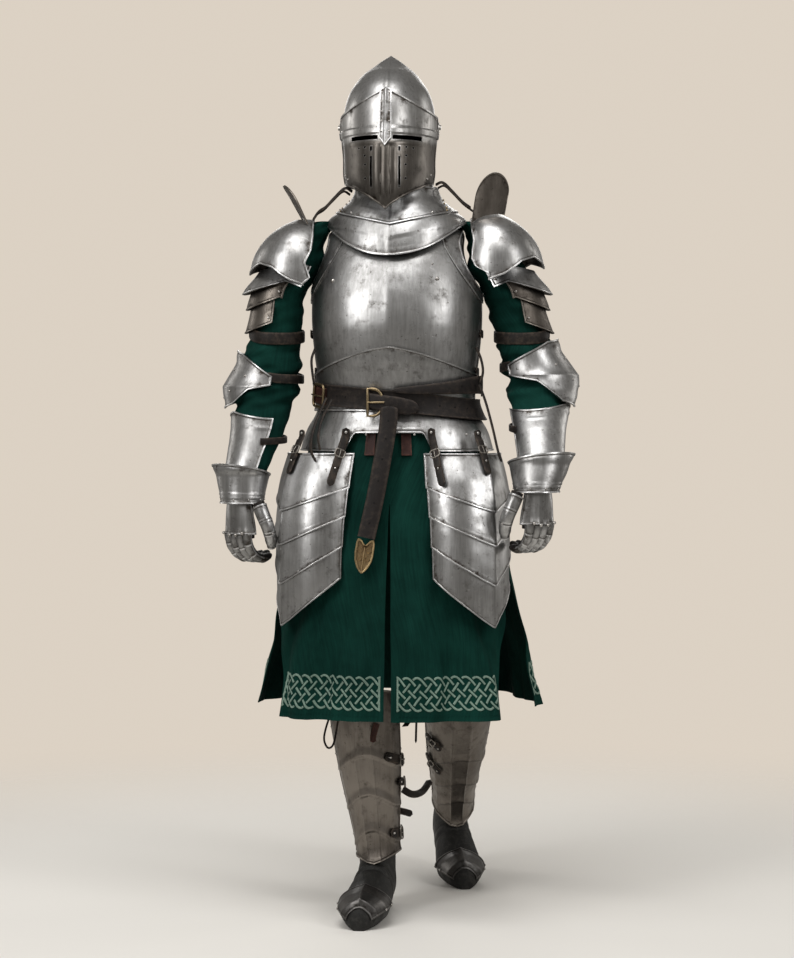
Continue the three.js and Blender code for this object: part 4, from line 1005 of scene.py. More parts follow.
def strapEnd():
    top, end = np.array([-41, -199, 824.0]), np.array([-51, -203, 752.0])
    down = (end - top) / np.linalg.norm(end - top)
    across = np.array([1, 0, down[0]])
    across -= down * (across @ down)
    across /= np.linalg.norm(across)
    facing = np.cross(down, across)
    facing = facing if facing[1] < 0 else -facing

    def outline(u, v):
        length = 72 * (1 - v)
        half = np.interp(length, [0, 8, 30, 46, 60, 68, 72], [17, 19.5, 20, 18, 12, 6, 1.5])
        notch = 12 * np.exp(-(((2 * u - 1) / 0.42) ** 2)) * smooth((14 - length) / 14)
        shift = length + notch
        return top + down * shift[..., None] + across * ((2 * u - 1) * half)[..., None] + facing

    parts = [shell(outline, thick=5, step=2, rim=1.2, beaten=0, facing=facing)]
    for side in (-1, 1):
        for begin, size in ((22, 7.5), (40, 6.5)):
            turn = np.linspace(0, 1.6 * np.pi, 22)
            radius = size * (1 - 0.55 * turn / turn[-1])
            middle = 8.2 - 0.6 * (begin > 30) * 2
            curl = [top + down * (begin + r * math.sin(t)) + across * side * (middle + r * math.cos(t) * 0.85)
                    + facing * 1.8 for t, r in zip(turn, radius)]
            parts.append(tube(curl, 1.1, 6, up=facing))
    parts.append(tube([top + down * d + facing * 2.0 for d in np.linspace(16, 66, 14)], 1.1, 6, up=(1, 0.2, 0)))
    addPiece("beltStrapEnd", parts, "trunk", bronze, "brass", ["belt_strap_end"])


beltPieces()
print("belt made")

# Tunic

tunicForm = makeForm([
    (440, 0, 0, 303, 205, 318), (560, 0, 0, 280, 198, 286), (697, 0, 0, 252, 188, 240), (860, 0, 0, 226, 172, 184),
    (940, 0, 0, 211, 160, 155), (1010, 0, 0, 193, 144, 128), (1060, 0, 0, 178, 133, 113), (1110, 0, 0, 160, 124, 102),
    (1150, 0, 0, 161, 129, 103), (1210, 0, 0, 169, 143, 111), (1280, 0, 0, 175, 151, 117),
    (1350, 0, 0, 174, 141, 117),
    (1410, 0, 0, 163, 121, 109), (1450, 0, 0, 149, 98, 97), (1480, 0, 0, 128, 74, 82), (1500, 0, 0, 90, 56, 64),
], 2.15)
frontFolds = [(-38, 15, 7, 930), (-24, -10, 6, 860), (-10, 9, 5, 900), (12, 10, 6, 880), (26, -11, 6, 900),
              (39, 14, 7, 850)]
backFolds = [(100, 12, 8, 900), (122, -14, 8, 930), (146, 42, 15, 960), (163, 8, 9, 900), (184, 16, 9, 940),
             (206, -15, 8, 900), (228, 18, 9, 950), (250, -13, 8, 900), (264, 10, 7, 860)]
# smaller folds between the main ones: angle, depth, spread, upper end
frontCreases = [(-46, -3, 2.2, 760), (-31, 4, 1.8, 980), (-18, 3, 1.6, 800), (-5, -3, 1.8, 960), (6, 3, 1.5, 860),
                (19, 4, 1.9, 980), (33, -3, 1.8, 820), (45, 4, 2.0, 900)]
backCreases = [(94, 4, 2.2, 860), (110, -5, 2.6, 980), (134, 5, 3.0, 880), (172, -5, 2.6, 960), (195, 5, 2.4, 860),
               (217, 5, 2.6, 980), (239, -5, 2.4, 880), (257, 4, 2.0, 960)]
tunic = {"hem": 440, "top": 1490, "backLift": 12, "ventTop": 880, "slitTop": 895, "bandLow": 26, "bandHigh": 92,
         "bandPeriod": 138, "strands": 6, "strandWide": 4.4}


def foldDepth(folds, angle, z):
    total = 0
    for at, depth, spread, upperEnd in folds:
        total = total + depth * smooth((upperEnd - z) / (upperEnd - 440)) * hump(angle, at, spread)
    return total


# Shallow slanting pulls in the cloth, so the folds don't run straight.
def clothPulls(angle, z, amount=1.0):
    waves = (np.sin(angle * 0.21 + z * 0.031) + np.sin(angle * 0.47 - z * 0.019 + 1.3)
             + 0.7 * np.sin(z * 0.052 + angle * 0.09))
    return amount * waves


def frontReach(z):
    return 89 - 39 * smooth((tunic["ventTop"] - z) / 420)


def frontOut(angle, z):
    skirt = smooth((1010 - z) / 120)
    sway = 2.0 * np.sin(z * 0.018 + angle * 0.05)
    return foldDepth(frontFolds, angle + sway, z) + skirt * (1.7 * foldDepth(frontCreases, angle + sway * 1.6,
        z) + clothPulls(angle, z, 1.5))


def backOut(angle, z):
    skirt = smooth((1010 - z) / 120)
    sway = 2.4 * np.sin(z * 0.016 + angle * 0.04)
    return foldDepth(backFolds, angle + sway, z) + skirt * (1.7 * foldDepth(backCreases, angle + sway * 1.6,
        z) + clothPulls(angle, z, 1.8))


def frontPanel(u, v):
    z = tunic["hem"] + (tunic["top"] - tunic["hem"]) * v
    angle = (2 * u - 1) * frontReach(z)
    return formPoint(tunicForm, angle, z, frontOut(angle, z))


def backPanel(u, v):
    hem = tunic["hem"] + tunic["backLift"]
    z = hem + (tunic["top"] - hem) * v
    angle = 90.6 + 178.8 * u
    return formPoint(tunicForm, angle, z, backOut(angle, z))


# An interlaced band of even waves: each strand goes under every second one that it meets.
def interlace(place, length):
    period, count = tunic["bandPeriod"], tunic["strands"]
    high = (tunic["bandHigh"] - tunic["bandLow"]) / 2
    parts = []
    for strand in range(count):
        s = np.arange(0, length, 2.2)
        phase = 2 * np.pi * (s / period + strand / count)
        turns = (phase / np.pi * count) % (2 * count)
        crossing = np.round(turns)
        level = np.where(crossing <= count, crossing, 2 * count - crossing)
        falling = (crossing > 0) & (crossing < count)
        rising = crossing > count
        under = (falling & (level % 2 == 0)) | (rising & (level % 2 == 1) & (crossing < 2 * count))
        gap = np.abs(turns - crossing) < 0.235
        height = high * (np.cos(phase) + 0.10 * np.cos(3 * phase)) / 1.05
        slope = np.gradient(height, s)
        leanS, leanH = -slope / np.hypot(1, slope), 1 / np.hypot(1, slope)
        half = tunic["strandWide"] / 2
        start = 0
        hidden = under & gap
        for end in range(1, len(s) + 1):
            if end < len(s) and not hidden[end] and not hidden[start]:
                continue
            if end - start > 3 and not hidden[start]:
                run = slice(start, end)
                across = np.array([-1, -0.5, 0.5, 1])[None]
                rise = np.array([0.1, 0.9, 0.9, 0.1])[None]
                onS = s[run, None] + leanS[run, None] * half * across
                onH = height[run, None] + leanH[run, None] * half * across
                top = place(np.clip(onS, 0, length), onH, 0.5 + rise)
                base = place(np.clip(onS[:, ::-1], 0, length), onH[:, ::-1], np.full_like(onH, -0.4))
                parts.append(loft(np.concatenate([top, base[:, [0, 3]]], 1)))
            start = end
    return joined(parts)


# Lengths along the hem turned into angles, so the band keeps its scale over the folds.
def bandPlace(outOf, fromAngle, toAngle, middle):
    angles = np.linspace(fromAngle, toAngle, 900)
    line = formPoint(tunicForm, angles, middle, outOf(angles, middle))
    lengths = np.concatenate([[0], np.cumsum(np.linalg.norm(np.diff(line, axis=0), axis=1))])

    def place(s, h, rise):
        angle = np.interp(s, lengths, angles)
        z = middle + h
        return formPoint(tunicForm, angle, z, outOf(angle, z) + rise)
    return place, lengths[-1]


def tunicPieces():
    slit = loft([[(x0, -330, z), (x1, -330, z), (x1, -40, z), (x0, -40, z)]
                 for x0, x1, z in ((-4, 13, 420), (-3, 11, 560), (-1, 9, 740), (3, 6, 880), (4.2, 5, 897))])
    front = meshObject("tunicFront", shell(frontPanel, step=6, rows=170, cols=120, rim=0.8, beaten=0), "trunk")
    cutWith(front, joined([slit]), "trunk")
    cutWith(front, joined([armholeCutter(-1, -3), armholeCutter(1, -3)]), "trunk")
    back = meshObject("tunicBack", shell(backPanel, step=6, rows=165, cols=170, rim=0.8, beaten=0), "trunk")
    cutWith(back, joined([armholeCutter(-1, -3), armholeCutter(1, -3)]), "trunk")
    finishPiece(front, tunicCloth, "cloth", ["tunic_front"])
    finishPiece(back, tunicCloth, "cloth", ["tunic_back"])

    middle = tunic["hem"] + (tunic["bandLow"] + tunic["bandHigh"]) / 2
    reach = float(frontReach(np.array(middle))) - 1.2
    bands = []
    for outOf, start, end, z in ((frontOut, -reach, -1.6, middle), (frontOut, 3.9, reach, middle),
                                 (backOut, 92.5, 267.5, middle + tunic["backLift"])):
        place, length = bandPlace(outOf, start, end, z)
        bands.append(interlace(place, length))
        high = (tunic["bandHigh"] - tunic["bandLow"]) / 2
        for s in (2.5, length - 2.5):
            h = np.linspace(-high, high, 20)
            parts = [place(np.full((20, 1), s) + np.array([[-2.2, 0, 2.2]]), np.repeat(h[:, None], 3, 1),
                           np.array([[0.3, 1.3, 0.3]]))]
            bands.append(loft(np.concatenate(parts + [place(np.full((20, 1), s), h[:, None],
                                                            np.array([[-0.4]]))], 1)))
    addPiece("hemBand", bands, "trunk", hemThread, "cloth")

    # stitched fold of the hem, on the front either side of the slit and round the back
    stitches = []
    for outOf, start, end, z in ((frontOut, -reach, -2.0, 452), (frontOut, 4.2, reach, 452), (backOut, 92, 268, 464)):
        place, length = bandPlace(outOf, start, end, z)
        for at in np.arange(3, length - 4, 7.0):
            s = np.array([[at], [at + 2.0], [at + 4.2]])
            ring = [place(s, np.full_like(s, h), np.full_like(s, r)) for h, r in ((-0.5, 0.1), (0, 0.9), (0.5, 0.1))]
            stitches.append(loft(np.concatenate(ring, 1)))
    addPiece("hemStitches", stitches, "trunk", tunicCloth, "cloth")

    # the dark red tabs that show in the arch of the fauld
    tabs = []
    for start, end in ((-13.5, -7.5), (7, 13)):
        def tab(u, v, start=start, end=end):
            angle = start + (end - start) * u
            return formPoint(tunicForm, angle, 1000 + 60 * v, 6.0 + 0 * angle)
        tabs.append(shell(tab, thick=2.5, step=3, rim=0.4, beaten=0.2))
    addPiece("waistTabs", tabs, "trunk", redLeather, "leather")


tunicPieces()
print("tunic made")

# Tassets and their straps

thighForm = makeForm([
    (630, 152, -70, 99, 122, 60), (740, 152, -72, 99, 126, 60), (860, 148, -68, 99, 122, 60),
    (940, 140, -60, 97, 114, 60), (1000, 130, -50, 91, 98, 60), (1040, 122, -40, 85, 90, 60),
])
lameEdges = [(931, 880, 925), (870, 808, 868), (807, 724, 800), (740, 636, 730)]
strapRuns = [(-17, 1058, -10, 936), (37, 1054, 40, 960)]
tasset = {"from": -33, "to": 104, "keelAngle": 44, "overlap": 14, "strapWide": 17}


def lameEdge(heights):
    return lineThrough([(tasset["from"], heights[0]), (tasset["keelAngle"], heights[1]), (tasset["to"], heights[2])])


def tassetPieces():
    for label, node, side in (("R", "r", -1), ("L", "l", 1)):
        form = mirroredForm(thighForm, side)
        for index, heights in enumerate(lameEdges):
            bottom = lameEdge(heights)
            above = lameEdge(lameEdges[index - 1]) if index else None
            top = (lambda angle, above=above: above(angle) + tasset["overlap"]) if above else 1004
            out = lambda angle, z, index=index: 10 - 3.5 * index + 7 * hump(angle, tasset["keelAngle"],
                10) + 2.6 * np.exp(
                -np.abs(angle - tasset["keelAngle"]) / 2.2)
            surface = formSurface(form, bottom, top, tasset["from"], tasset["to"], out, side)
            lame = shell(surface, step=4.2, rim=1.5, rims=(1, 1, 1, index == 0), border=doubleLine(7.5, 200, 0.6))
            addPiece(f"tassetLame{label}{index + 1}", lame, "trunk", agedSteel, "steel",
                     [f"tasset_{node}_{index + 1}"])
            if index:
                for angle in (-24, 20, 92):
                    dotOnForm("rivet", "trunk", form, side * angle, float(above(angle)) + 5, 13.5 - 3.5 * index, 1.8)

        for index, (topAngle, topZ, endAngle, endZ) in enumerate(strapRuns):
            share = np.linspace(0, 1, 40)
            z = topZ + (endZ - topZ) * share
            angle = topAngle + (endAngle - topAngle) * share
            path = formPoint(thighForm, angle, np.minimum(z, 1040), 18.5 + 4 * sine(2 * angle))
            path[:, 2] = z
            facing = formPoint(thighForm, angle, np.minimum(z, 1040), 30) - formPoint(thighForm, angle,
                np.minimum(z, 1040), 20)
            path[:, 0] *= side
            facing[:, 0] *= side
            facing /= np.linalg.norm(facing, axis=1, keepdims=True)
            parts = [strap(path, facing, tasset["strapWide"], 2.8, tip=12, startTip=5)]
            lap = path[9:28] + facing[9:28] * 3.2
            parts.append(strap(lap, facing[9:28], tasset["strapWide"] - 1, 2.4, tip=5))
            addPiece(f"tassetStrap{label}{index + 1}", parts, "trunk", strapLeather, "leather",
                     [f"tasset_strap_{node}_{index + 1}"])
            down = path[20] - path[14]
            down /= np.linalg.norm(down)
            across = np.cross(down, facing[17])
            parts = buckleFrame(path[17] + facing[17] * 5.5, -down, across, facing[17], 8.5, 11.5, 1.7, 3.4)
            addPiece(f"tassetBuckle{label}{index + 1}", parts, "trunk", buckleSteel, "steel")
            dot("rivet", "trunk", path[3] + facing[3] * 3.2, facing[3], 3.2)
            dot("rivet", "trunk", path[27] + facing[27] * 5.2, facing[27], 2.4)
            for at in (31, 35):
                dot("hole", "trunk", path[at] + facing[at] * 3.0, facing[at], 1.3)


tassetPieces()
print("tassets made")

# Arms: sleeves, shoulder guards, lames, elbow guards and vambraces

armForms = {
    "R": makeForm([
        (880, -328, -84, 33, 33, 33), (960, -322, -69, 45, 44, 44), (1052, -298, -26, 60, 58, 58),
        (1100, -291, -8, 67, 64, 64), (1150, -283, 8, 73, 70, 70), (1200, -274, 14, 68, 68, 68),
        (1270, -261, 12, 58, 60, 60), (1350, -250, 8, 58, 58, 60), (1400, -222, 4, 64, 54, 58),
        (1440, -208, 2, 54, 46, 50), (1462, -196, 2, 44, 40, 44), (1484, -176, 2, 38, 36, 40),
        (1506, -152, 4, 28, 30, 34)]),
    "L": makeForm([
        (930, 297, -186, 38, 38, 38), (985, 303, -152, 47, 45, 45), (1052, 304, -94, 55, 54, 54),
        (1100, 306, -42, 64, 62, 62), (1150, 306, -2, 71, 70, 70), (1200, 295, 14, 68, 68, 68),
        (1270, 270, 12, 59, 60, 60), (1350, 252, 8, 58, 58, 60), (1400, 222, 4, 64, 54, 58),
        (1440, 206, 2, 54, 46, 50), (1462, 194, 2, 44, 40, 44), (1484, 176, 2, 38, 36, 40),
        (1506, 152, 4, 28, 30, 34)]),
}
arms = {
    "R": {"side": -1, "cuffRim": 968, "cuffEnd": 896, "vambraceTop": 1094, "elbow": 1157, "wing": -8,
          "lower": -58, "drop": 14,
          "turn": -42, "vambraceFrom": -25},
    "L": {"side": 1, "cuffRim": 994, "cuffEnd": 923, "vambraceTop": 1112, "elbow": 1182, "wing": -52,
          "lower": -80, "drop": 0,
          "turn": 37, "vambraceFrom": -70},
}
couterTop = lineThrough([(0, 11), (0.63, 62), (1, 70), (1.4, 56), (2, 22)])
couterBottom = lineThrough([(0, 0.15), (0.35, 0.3), (0.5, 0.6), (0.63, 0.83), (1, 1), (1.4, 0.8), (2, 0.3)])
shoulderForm = makeForm([
    (1370, 221, 2, 95, 110, 96), (1410, 221, 2, 95, 110, 96), (1450, 219, 2, 85, 103, 90), (1485, 212, 2, 66, 82, 74),
    (1508, 205, 2, 43, 54, 50), (1522, 200, 2, 19, 21, 20),
])
pauldronEdge = lineThrough([(-70, 1402), (-45, 1384), (-18, 1371), (5, 1386), (28, 1414), (50, 1424),
                            (90, 1402), (130, 1416),
                            (180, 1384), (220, 1388), (250, 1404)])
# the wavy edge beside the chest: height to distance from the middle
innerEdges = {"R": lineThrough([(1360, 196), (1378, 200), (1392, 186), (1408, 192), (1424, 196), (1450, 184),
                                (1480, 180), (1500, 180)]),
              "L": lineThrough([(1360, 196), (1388, 194), (1403, 168), (1420, 160), (1436, 161), (1460, 164),
                                (1490, 160), (1510, 160)])}
guards = {
    "R": {"front": (192, -58), "back": (206, 30), "lean": (40, 4), "rise": 84, "bulge": (7, 0)},
    "L": {"front": (160, -44), "back": (232, -30), "lean": (16, -14), "rise": 94, "bulge": (0, -12)},
}
hingeLines = {
    "shoulder": {"from": -28, "to": 150, "top": 1398, "bottom": 1346, "inner": 9, "flare": 15},
    "upper": {"from": -6, "to": 160, "top": 1362, "bottom": 1312, "inner": 5.5, "flare": 6},
    "lower": {"from": 8, "to": 162, "top": 1328, "bottom": 1262, "inner": 1.5, "flare": 6},
}


# Slack cloth: rings round the elbow, slanting pulls above and below it, and fullness beside the chest.
def sleeveOut(angle, z, elbow):
    near = hump(z, elbow - 12, 62)
    phase = (z + 9 * np.sin(2 * np.radians(angle))) / 62 * 2 * np.pi
    pulls = np.sin(z * 0.115 + np.radians(angle) * 2 + 1.1 * np.sin(np.radians(angle) * 3))
    pulls = pulls + 0.6 * np.sin(z * 0.21 - np.radians(angle) * 3 + 0.7)
    inner = 0.6 + 0.4 * np.cos(np.radians(angle - 300))
    inward = 0.5 + 0.5 * np.cos(np.radians(angle - 275))
    above = smooth((z - elbow + 66) / 26)
    puff = 14 * inward * hump(z, 1345, 62) + 7 * inner * hump(z, elbow + 42, 26)
    slack = puff + 4.5 * near * np.sin(phase) + (1.2 + 4.4 * (near + 0.25) * inner) * pulls
    slack = slack + 1.6 * np.sin(z * 0.043 + np.radians(angle) * 2)
    pinch = 1 - 0.85 * hump(z, 1257, 18)
    covered = smooth((np.mod(angle + 100, 360) - 30) / 25) * smooth((300 - np.mod(angle + 100, 360)) / 25)
    most = 8.0 + 8 * inward * hump(z, 1345, 62) - 6.0 * covered
    return np.minimum(-5 + slack * pinch * (0.35 + 0.65 * above), most)


def couterSurface(form, arm):
    wing, elbow = arm["wing"], arm["elbow"]

    def out(angle, z):
        around = hump(angle, 96, 58)
        middle = 1 - smooth(np.abs(z - elbow + 16) / 62)
        keel = 3.0 * np.exp(-np.abs(z - elbow + 10) / 5) * smooth((angle - wing - 8) / 30)
        return 5 + 3 * around + 14 * around * middle + 5 * smooth((np.abs(z - elbow) - 40) / 22) + keel
    share = lambda angle: (angle - wing) / (90 - wing)
    return formSurface(form, lambda angle: elbow + arm["lower"] * couterBottom(share(angle)),
                       lambda angle: elbow + couterTop(share(angle)), wing, 190, out, arm["side"])


def pauldronSurface(label, side):
    def surface(u, v):
        z = np.full_like(u, 1420.0)
        for _ in range(6):
            x, y, wide, front, back = np.moveaxis(sectionAt(shoulderForm, z), -1, 0)
            lean = np.degrees(np.arcsin(np.clip((innerEdges[label](z) - x) / (wide + 3), -0.999, 0.6)))
            angle = lean + (180 - 2 * lean) * u
            low = pauldronEdge(np.clip(angle, -70, 250))
            z = low + (1522 - low) * v
        point = formPoint(shoulderForm, angle, z, 3)
        point[..., 0] *= side
        return point if side > 0 else point[:, ::-1]
    return surface


def shoulderHeight(x, y):
    low, high = np.full_like(x, 1370.0), np.full_like(x, 1522.0)
    for _ in range(24):
        z = (low + high) / 2
        cx, cy, wide, front, back = np.moveaxis(sectionAt(shoulderForm, z), -1, 0)
        depth = np.where(y < cy, front, back)
        within = ((x - cx) / (wide + 3)) ** 2 + ((y - cy) / (depth + 3)) ** 2 < 1
        low, high = np.where(within, z, low), np.where(within, high, z)
    return low


def hauteSurface(label, side, drop):
    guard = guards[label]

    def surface(u, v):
        share = u if side > 0 else 1 - u
        arc = np.sin(np.pi * share)
        footX = guard["front"][0] + (guard["back"][0] - guard["front"][0]) * share + guard["bulge"][0] * arc
        footY = guard["front"][1] + (guard["back"][1] - guard["front"][1]) * share + guard["bulge"][1] * arc
        foot = shoulderHeight(footX, footY) + 4.5
        height = v * (0.5 + 0.5 * np.sqrt(np.maximum(arc, 0)))
        return np.stack([side * (footX + guard["lean"][0] * height), footY + guard["lean"][1] * height,
                         foot + (1512 + guard["rise"] - foot) * height - drop], -1)
    return surface


# A strap round an arm: angles and heights in the arm's own section, on its front and outer side.
def armStrap(form, side, pairs, out, width, count=30):
    knots = curveThrough([(side * angle, z, 0) for angle, z in pairs], count)
    path = formPoint(form, knots[:, 0], knots[:, 1], out)
    facing = formPoint(form, knots[:, 0], knots[:, 1], out + 10) - path
    return strap(path, facing / 10, width, 2.6)


def armPieces():
    for label, arm in arms.items():
        node, side, form, elbow = label.lower(), arm["side"], armForms[label], arm["elbow"]
        sleeve = formSurface(form, arm["cuffRim"] - 9, 1504, 0, 360, lambda angle,
                             z: sleeveOut(side * angle, z, elbow), side)
        addPiece(f"sleeve{label}", shell(sleeve, wrap=True, step=4, rows=120, cols=90, rim=0, beaten=0), "suit",
                 tunicCloth,
                 "cloth", [f"sleeve_{node}"])
        dome = shell(pauldronSurface(label, side), step=4, rim=1.7, facing=(side * 0.3, -0.2, 1), rims=(1, 1, 1, 0),
                     border=doubleLine(8, 200, 0.5))
        dome["points"][:, 2] -= arm["drop"]
        addPiece(f"pauldron{label}", dome, "suit", agedSteel, "steel", [f"pauldron_{node}"])
        haute = shell(hauteSurface(label, side, arm["drop"]), step=4, rim=1.5, rims=(1, 1, 0, 1))
        addPiece(f"hautePiece{label}", haute, "suit", greaveSteel, "steel", [f"haute_piece_{node}"])
        for name, solid in (("shoulder", "shoulder_lame"), ("upper", "arm_lame_upper"), ("lower", "arm_lame_lower")):
            line = hingeLines[name]
            surface = formSurface(
                form, lambda angle, line=line: line["bottom"] + 26 * (1 - sine(angle)),
                lambda angle, line=line: line["top"] + 13 * (1 - sine(angle)), line["from"], line["to"],
                lambda angle, z, line=line: (line["inner"] + 3 + line["flare"]
                                             * smooth((line["top"] - z) / (line["top"] - line["bottom"]))),
                side)
            lame = shell(surface, step=4, rim=1.4, rims=(1, 1, 1, 0))
            addPiece(f"{name}Lame{label}", lame, "suit", greaveSteel if name != "shoulder" else agedSteel, "steel",
                     [f"{solid}_{node}"])
            for angle in (line["from"] + 9, line["to"] - 12):
                z = line["bottom"] + 26 * (1 - float(sine(angle))) + 14
                dotOnForm("rivet", "suit", form, side * angle, z, line["inner"] + 5 + line["flare"] * 0.5, 2.8)
        addPiece(f"couter{label}", shell(couterSurface(form, arm), step=3.6, rim=1.8), "suit", agedSteel, "steel",
                 [f"couter_{node}"])
        for angle, dz in ((36, 12), (70, 26), (96, -34), (110, 20), (60, -20)):
            out = 5 + 3 * float(hump(angle, 96, 58)) + 14 * float(hump(angle, 96,
                58)) * (1 - float(smooth(abs(dz + 16) / 62))) + 1
            dotOnForm("rivet", "suit", form, side * angle, elbow + dz, out, 2.6)
        vambrace = formSurface(form, arm["cuffRim"] - 22, lambda angle,
                               arm=arm: arm["vambraceTop"] - 16 * sine(angle - 60),
                               arm["vambraceFrom"], 190, 3, side)
        lines = lambda low, top, start, end: hump(top, 20, 1.4) + hump(top, 24.5, 1.4)
        addPiece(f"vambrace{label}", shell(vambrace, step=4, rim=1.6, border=lines), "suit", agedSteel, "steel",
                 [f"vambrace_{node}"])

        # leather: a band over the upper arm, straps at the elbow and the vambrace
        wristZ = arm["cuffRim"] + 62
        straps = [armStrap(form, side, [(-150, 1264), (-90, 1256), (-30, 1250), (30, 1252), (80, 1266)], 0.5, 26),
                  armStrap(form, side, [(-130, elbow + 12), (-95, elbow + 6), (arm["wing"] - 22, elbow + 6),
                                        (arm["wing"] + 7, elbow + 10)], 3.0, 20),
                  armStrap(form, side, [(-130, wristZ + 6), (-90, wristZ + 2),
                                        (arm["vambraceFrom"] + 14, wristZ - 2)], 6.0, 15)]
        addPiece(f"armStraps{label}", straps, "suit", strapLeather, "leather")


armPieces()
print("arms made")

# Gauntlets: flared cuff, plate over the hand, four plated fingers, thumb, leather glove inside

cuffForms = {
    "R": makeForm([(880, -333, -90, 46, 44, 44), (905, -332, -84, 47, 46, 46), (935, -332, -74, 53, 54, 54),
                   (985, -332, -60, 64, 66, 64)]),
    "L": makeForm([(905, 292, -198, 46, 45, 45), (932, 294, -188, 49, 48, 48), (962, 299, -168, 59, 60, 58),
                   (1010, 304, -138, 72, 74, 68)]),
}
hand = {"palm": 84, "finger": 92, "curlRadius": 42}
handWide = lineThrough([(-40, 29), (0, 32), (30, 38), (80, 43), (130, 40), (180, 34)])
handDeep = lineThrough([(-40, 24), (0, 23), (60, 20), (100, 17), (180, 12)])
# fingers: place across the hand, start and full length, reach of the curl, radius
fingers = [(-27.5, 80, 158, 10.5, 9.8), (-9.5, 84, 174, 10.8, 10.4), (9.5, 84, 176, 10.8, 10.4),
           (28, 80, 166, 10.2, 10.0)]


# Centre line of the hand: a straight palm, then a curl; back is the outward direction there.
def handLine(length):
    curl = np.maximum(length - hand["palm"], 0) / hand["curlRadius"]
    y = hand["curlRadius"] * (1 - np.cos(curl))
    z = -np.minimum(length, hand["palm"]) - hand["curlRadius"] * np.sin(curl)
    return np.stack([np.zeros_like(y), y, z], -1), np.stack([np.zeros_like(y), -np.cos(curl), -np.sin(curl)], -1)


def handPoint(length, angle, out):
    centre, back = handLine(length)
    across = (handWide(length) + out) * np.sin(np.radians(angle))
    off = (handDeep(length) + out) * np.cos(np.radians(angle))
    return centre + back * off[..., None] + across[..., None] * np.array([1.0, 0, 0])


# Curved lames over one finger, each lapping the next towards the tip.
def fingerLames(x, start, end, radius, lift):
    parts = []
    edges = np.linspace(start, end, 5)
    for index in range(4):
        low, high = edges[index + 1], edges[index] - 5 * (index > 0)
        size = radius - 0.9 * index

        def surface(u, v, low=low, high=high, size=size, index=index):
            angle = (2 * u - 1) * 104
            length = low + (high - low) * v
            centre, back = handLine(length)
            tip = np.where(index == 3, 1 - 0.45 * (1 - v) ** 3, 1.0)
            knuckle = 1.6 * hump(length, edges[index] + 3, 7)
            ridge = 0.9 * np.exp(-np.abs(angle) / 18)
            spread = (size * tip + knuckle * np.cos(np.radians(angle)).clip(0)) + ridge
            side = x * (1 - 0.10 * (length - start) / (end - start)) + spread * np.sin(np.radians(angle))
            off = lift - 2 + spread * np.cos(np.radians(angle))
            return centre + back * off[..., None] + side[..., None] * np.array([1.0, 0, 0])
        parts.append(shell(surface, thick=1.2, step=3.0, rim=0.5, rims=(1, 1, 1, 0), beaten=0.1,
                           facing=(0, -1, -0.2)))
    return parts


def gloveFinger(x, start, end, radius, lift):
    length = np.linspace(start - 26, end + 3, 22)
    centre, back = handLine(length)
    aside = x * (1 - 0.10 * (length - start).clip(0) / (end - start))
    path = centre + back * (lift - 3.5) + np.array([1.0, 0, 0]) * aside[:, None]
    size = (radius - 1.8) * np.sqrt(np.clip((end + 6 - length) / 9, 0.15, 1))
    return tube(path, size, 14, up=(1, 0.05, 0.02))


def thumbPath(side, count):
    return curveThrough([(side * 50, 2, -14), (side * 60, 5, -38), (side * 68, 11, -62), (side * 68, 21, -86),
                         (side * 57, 35, -110)], count)


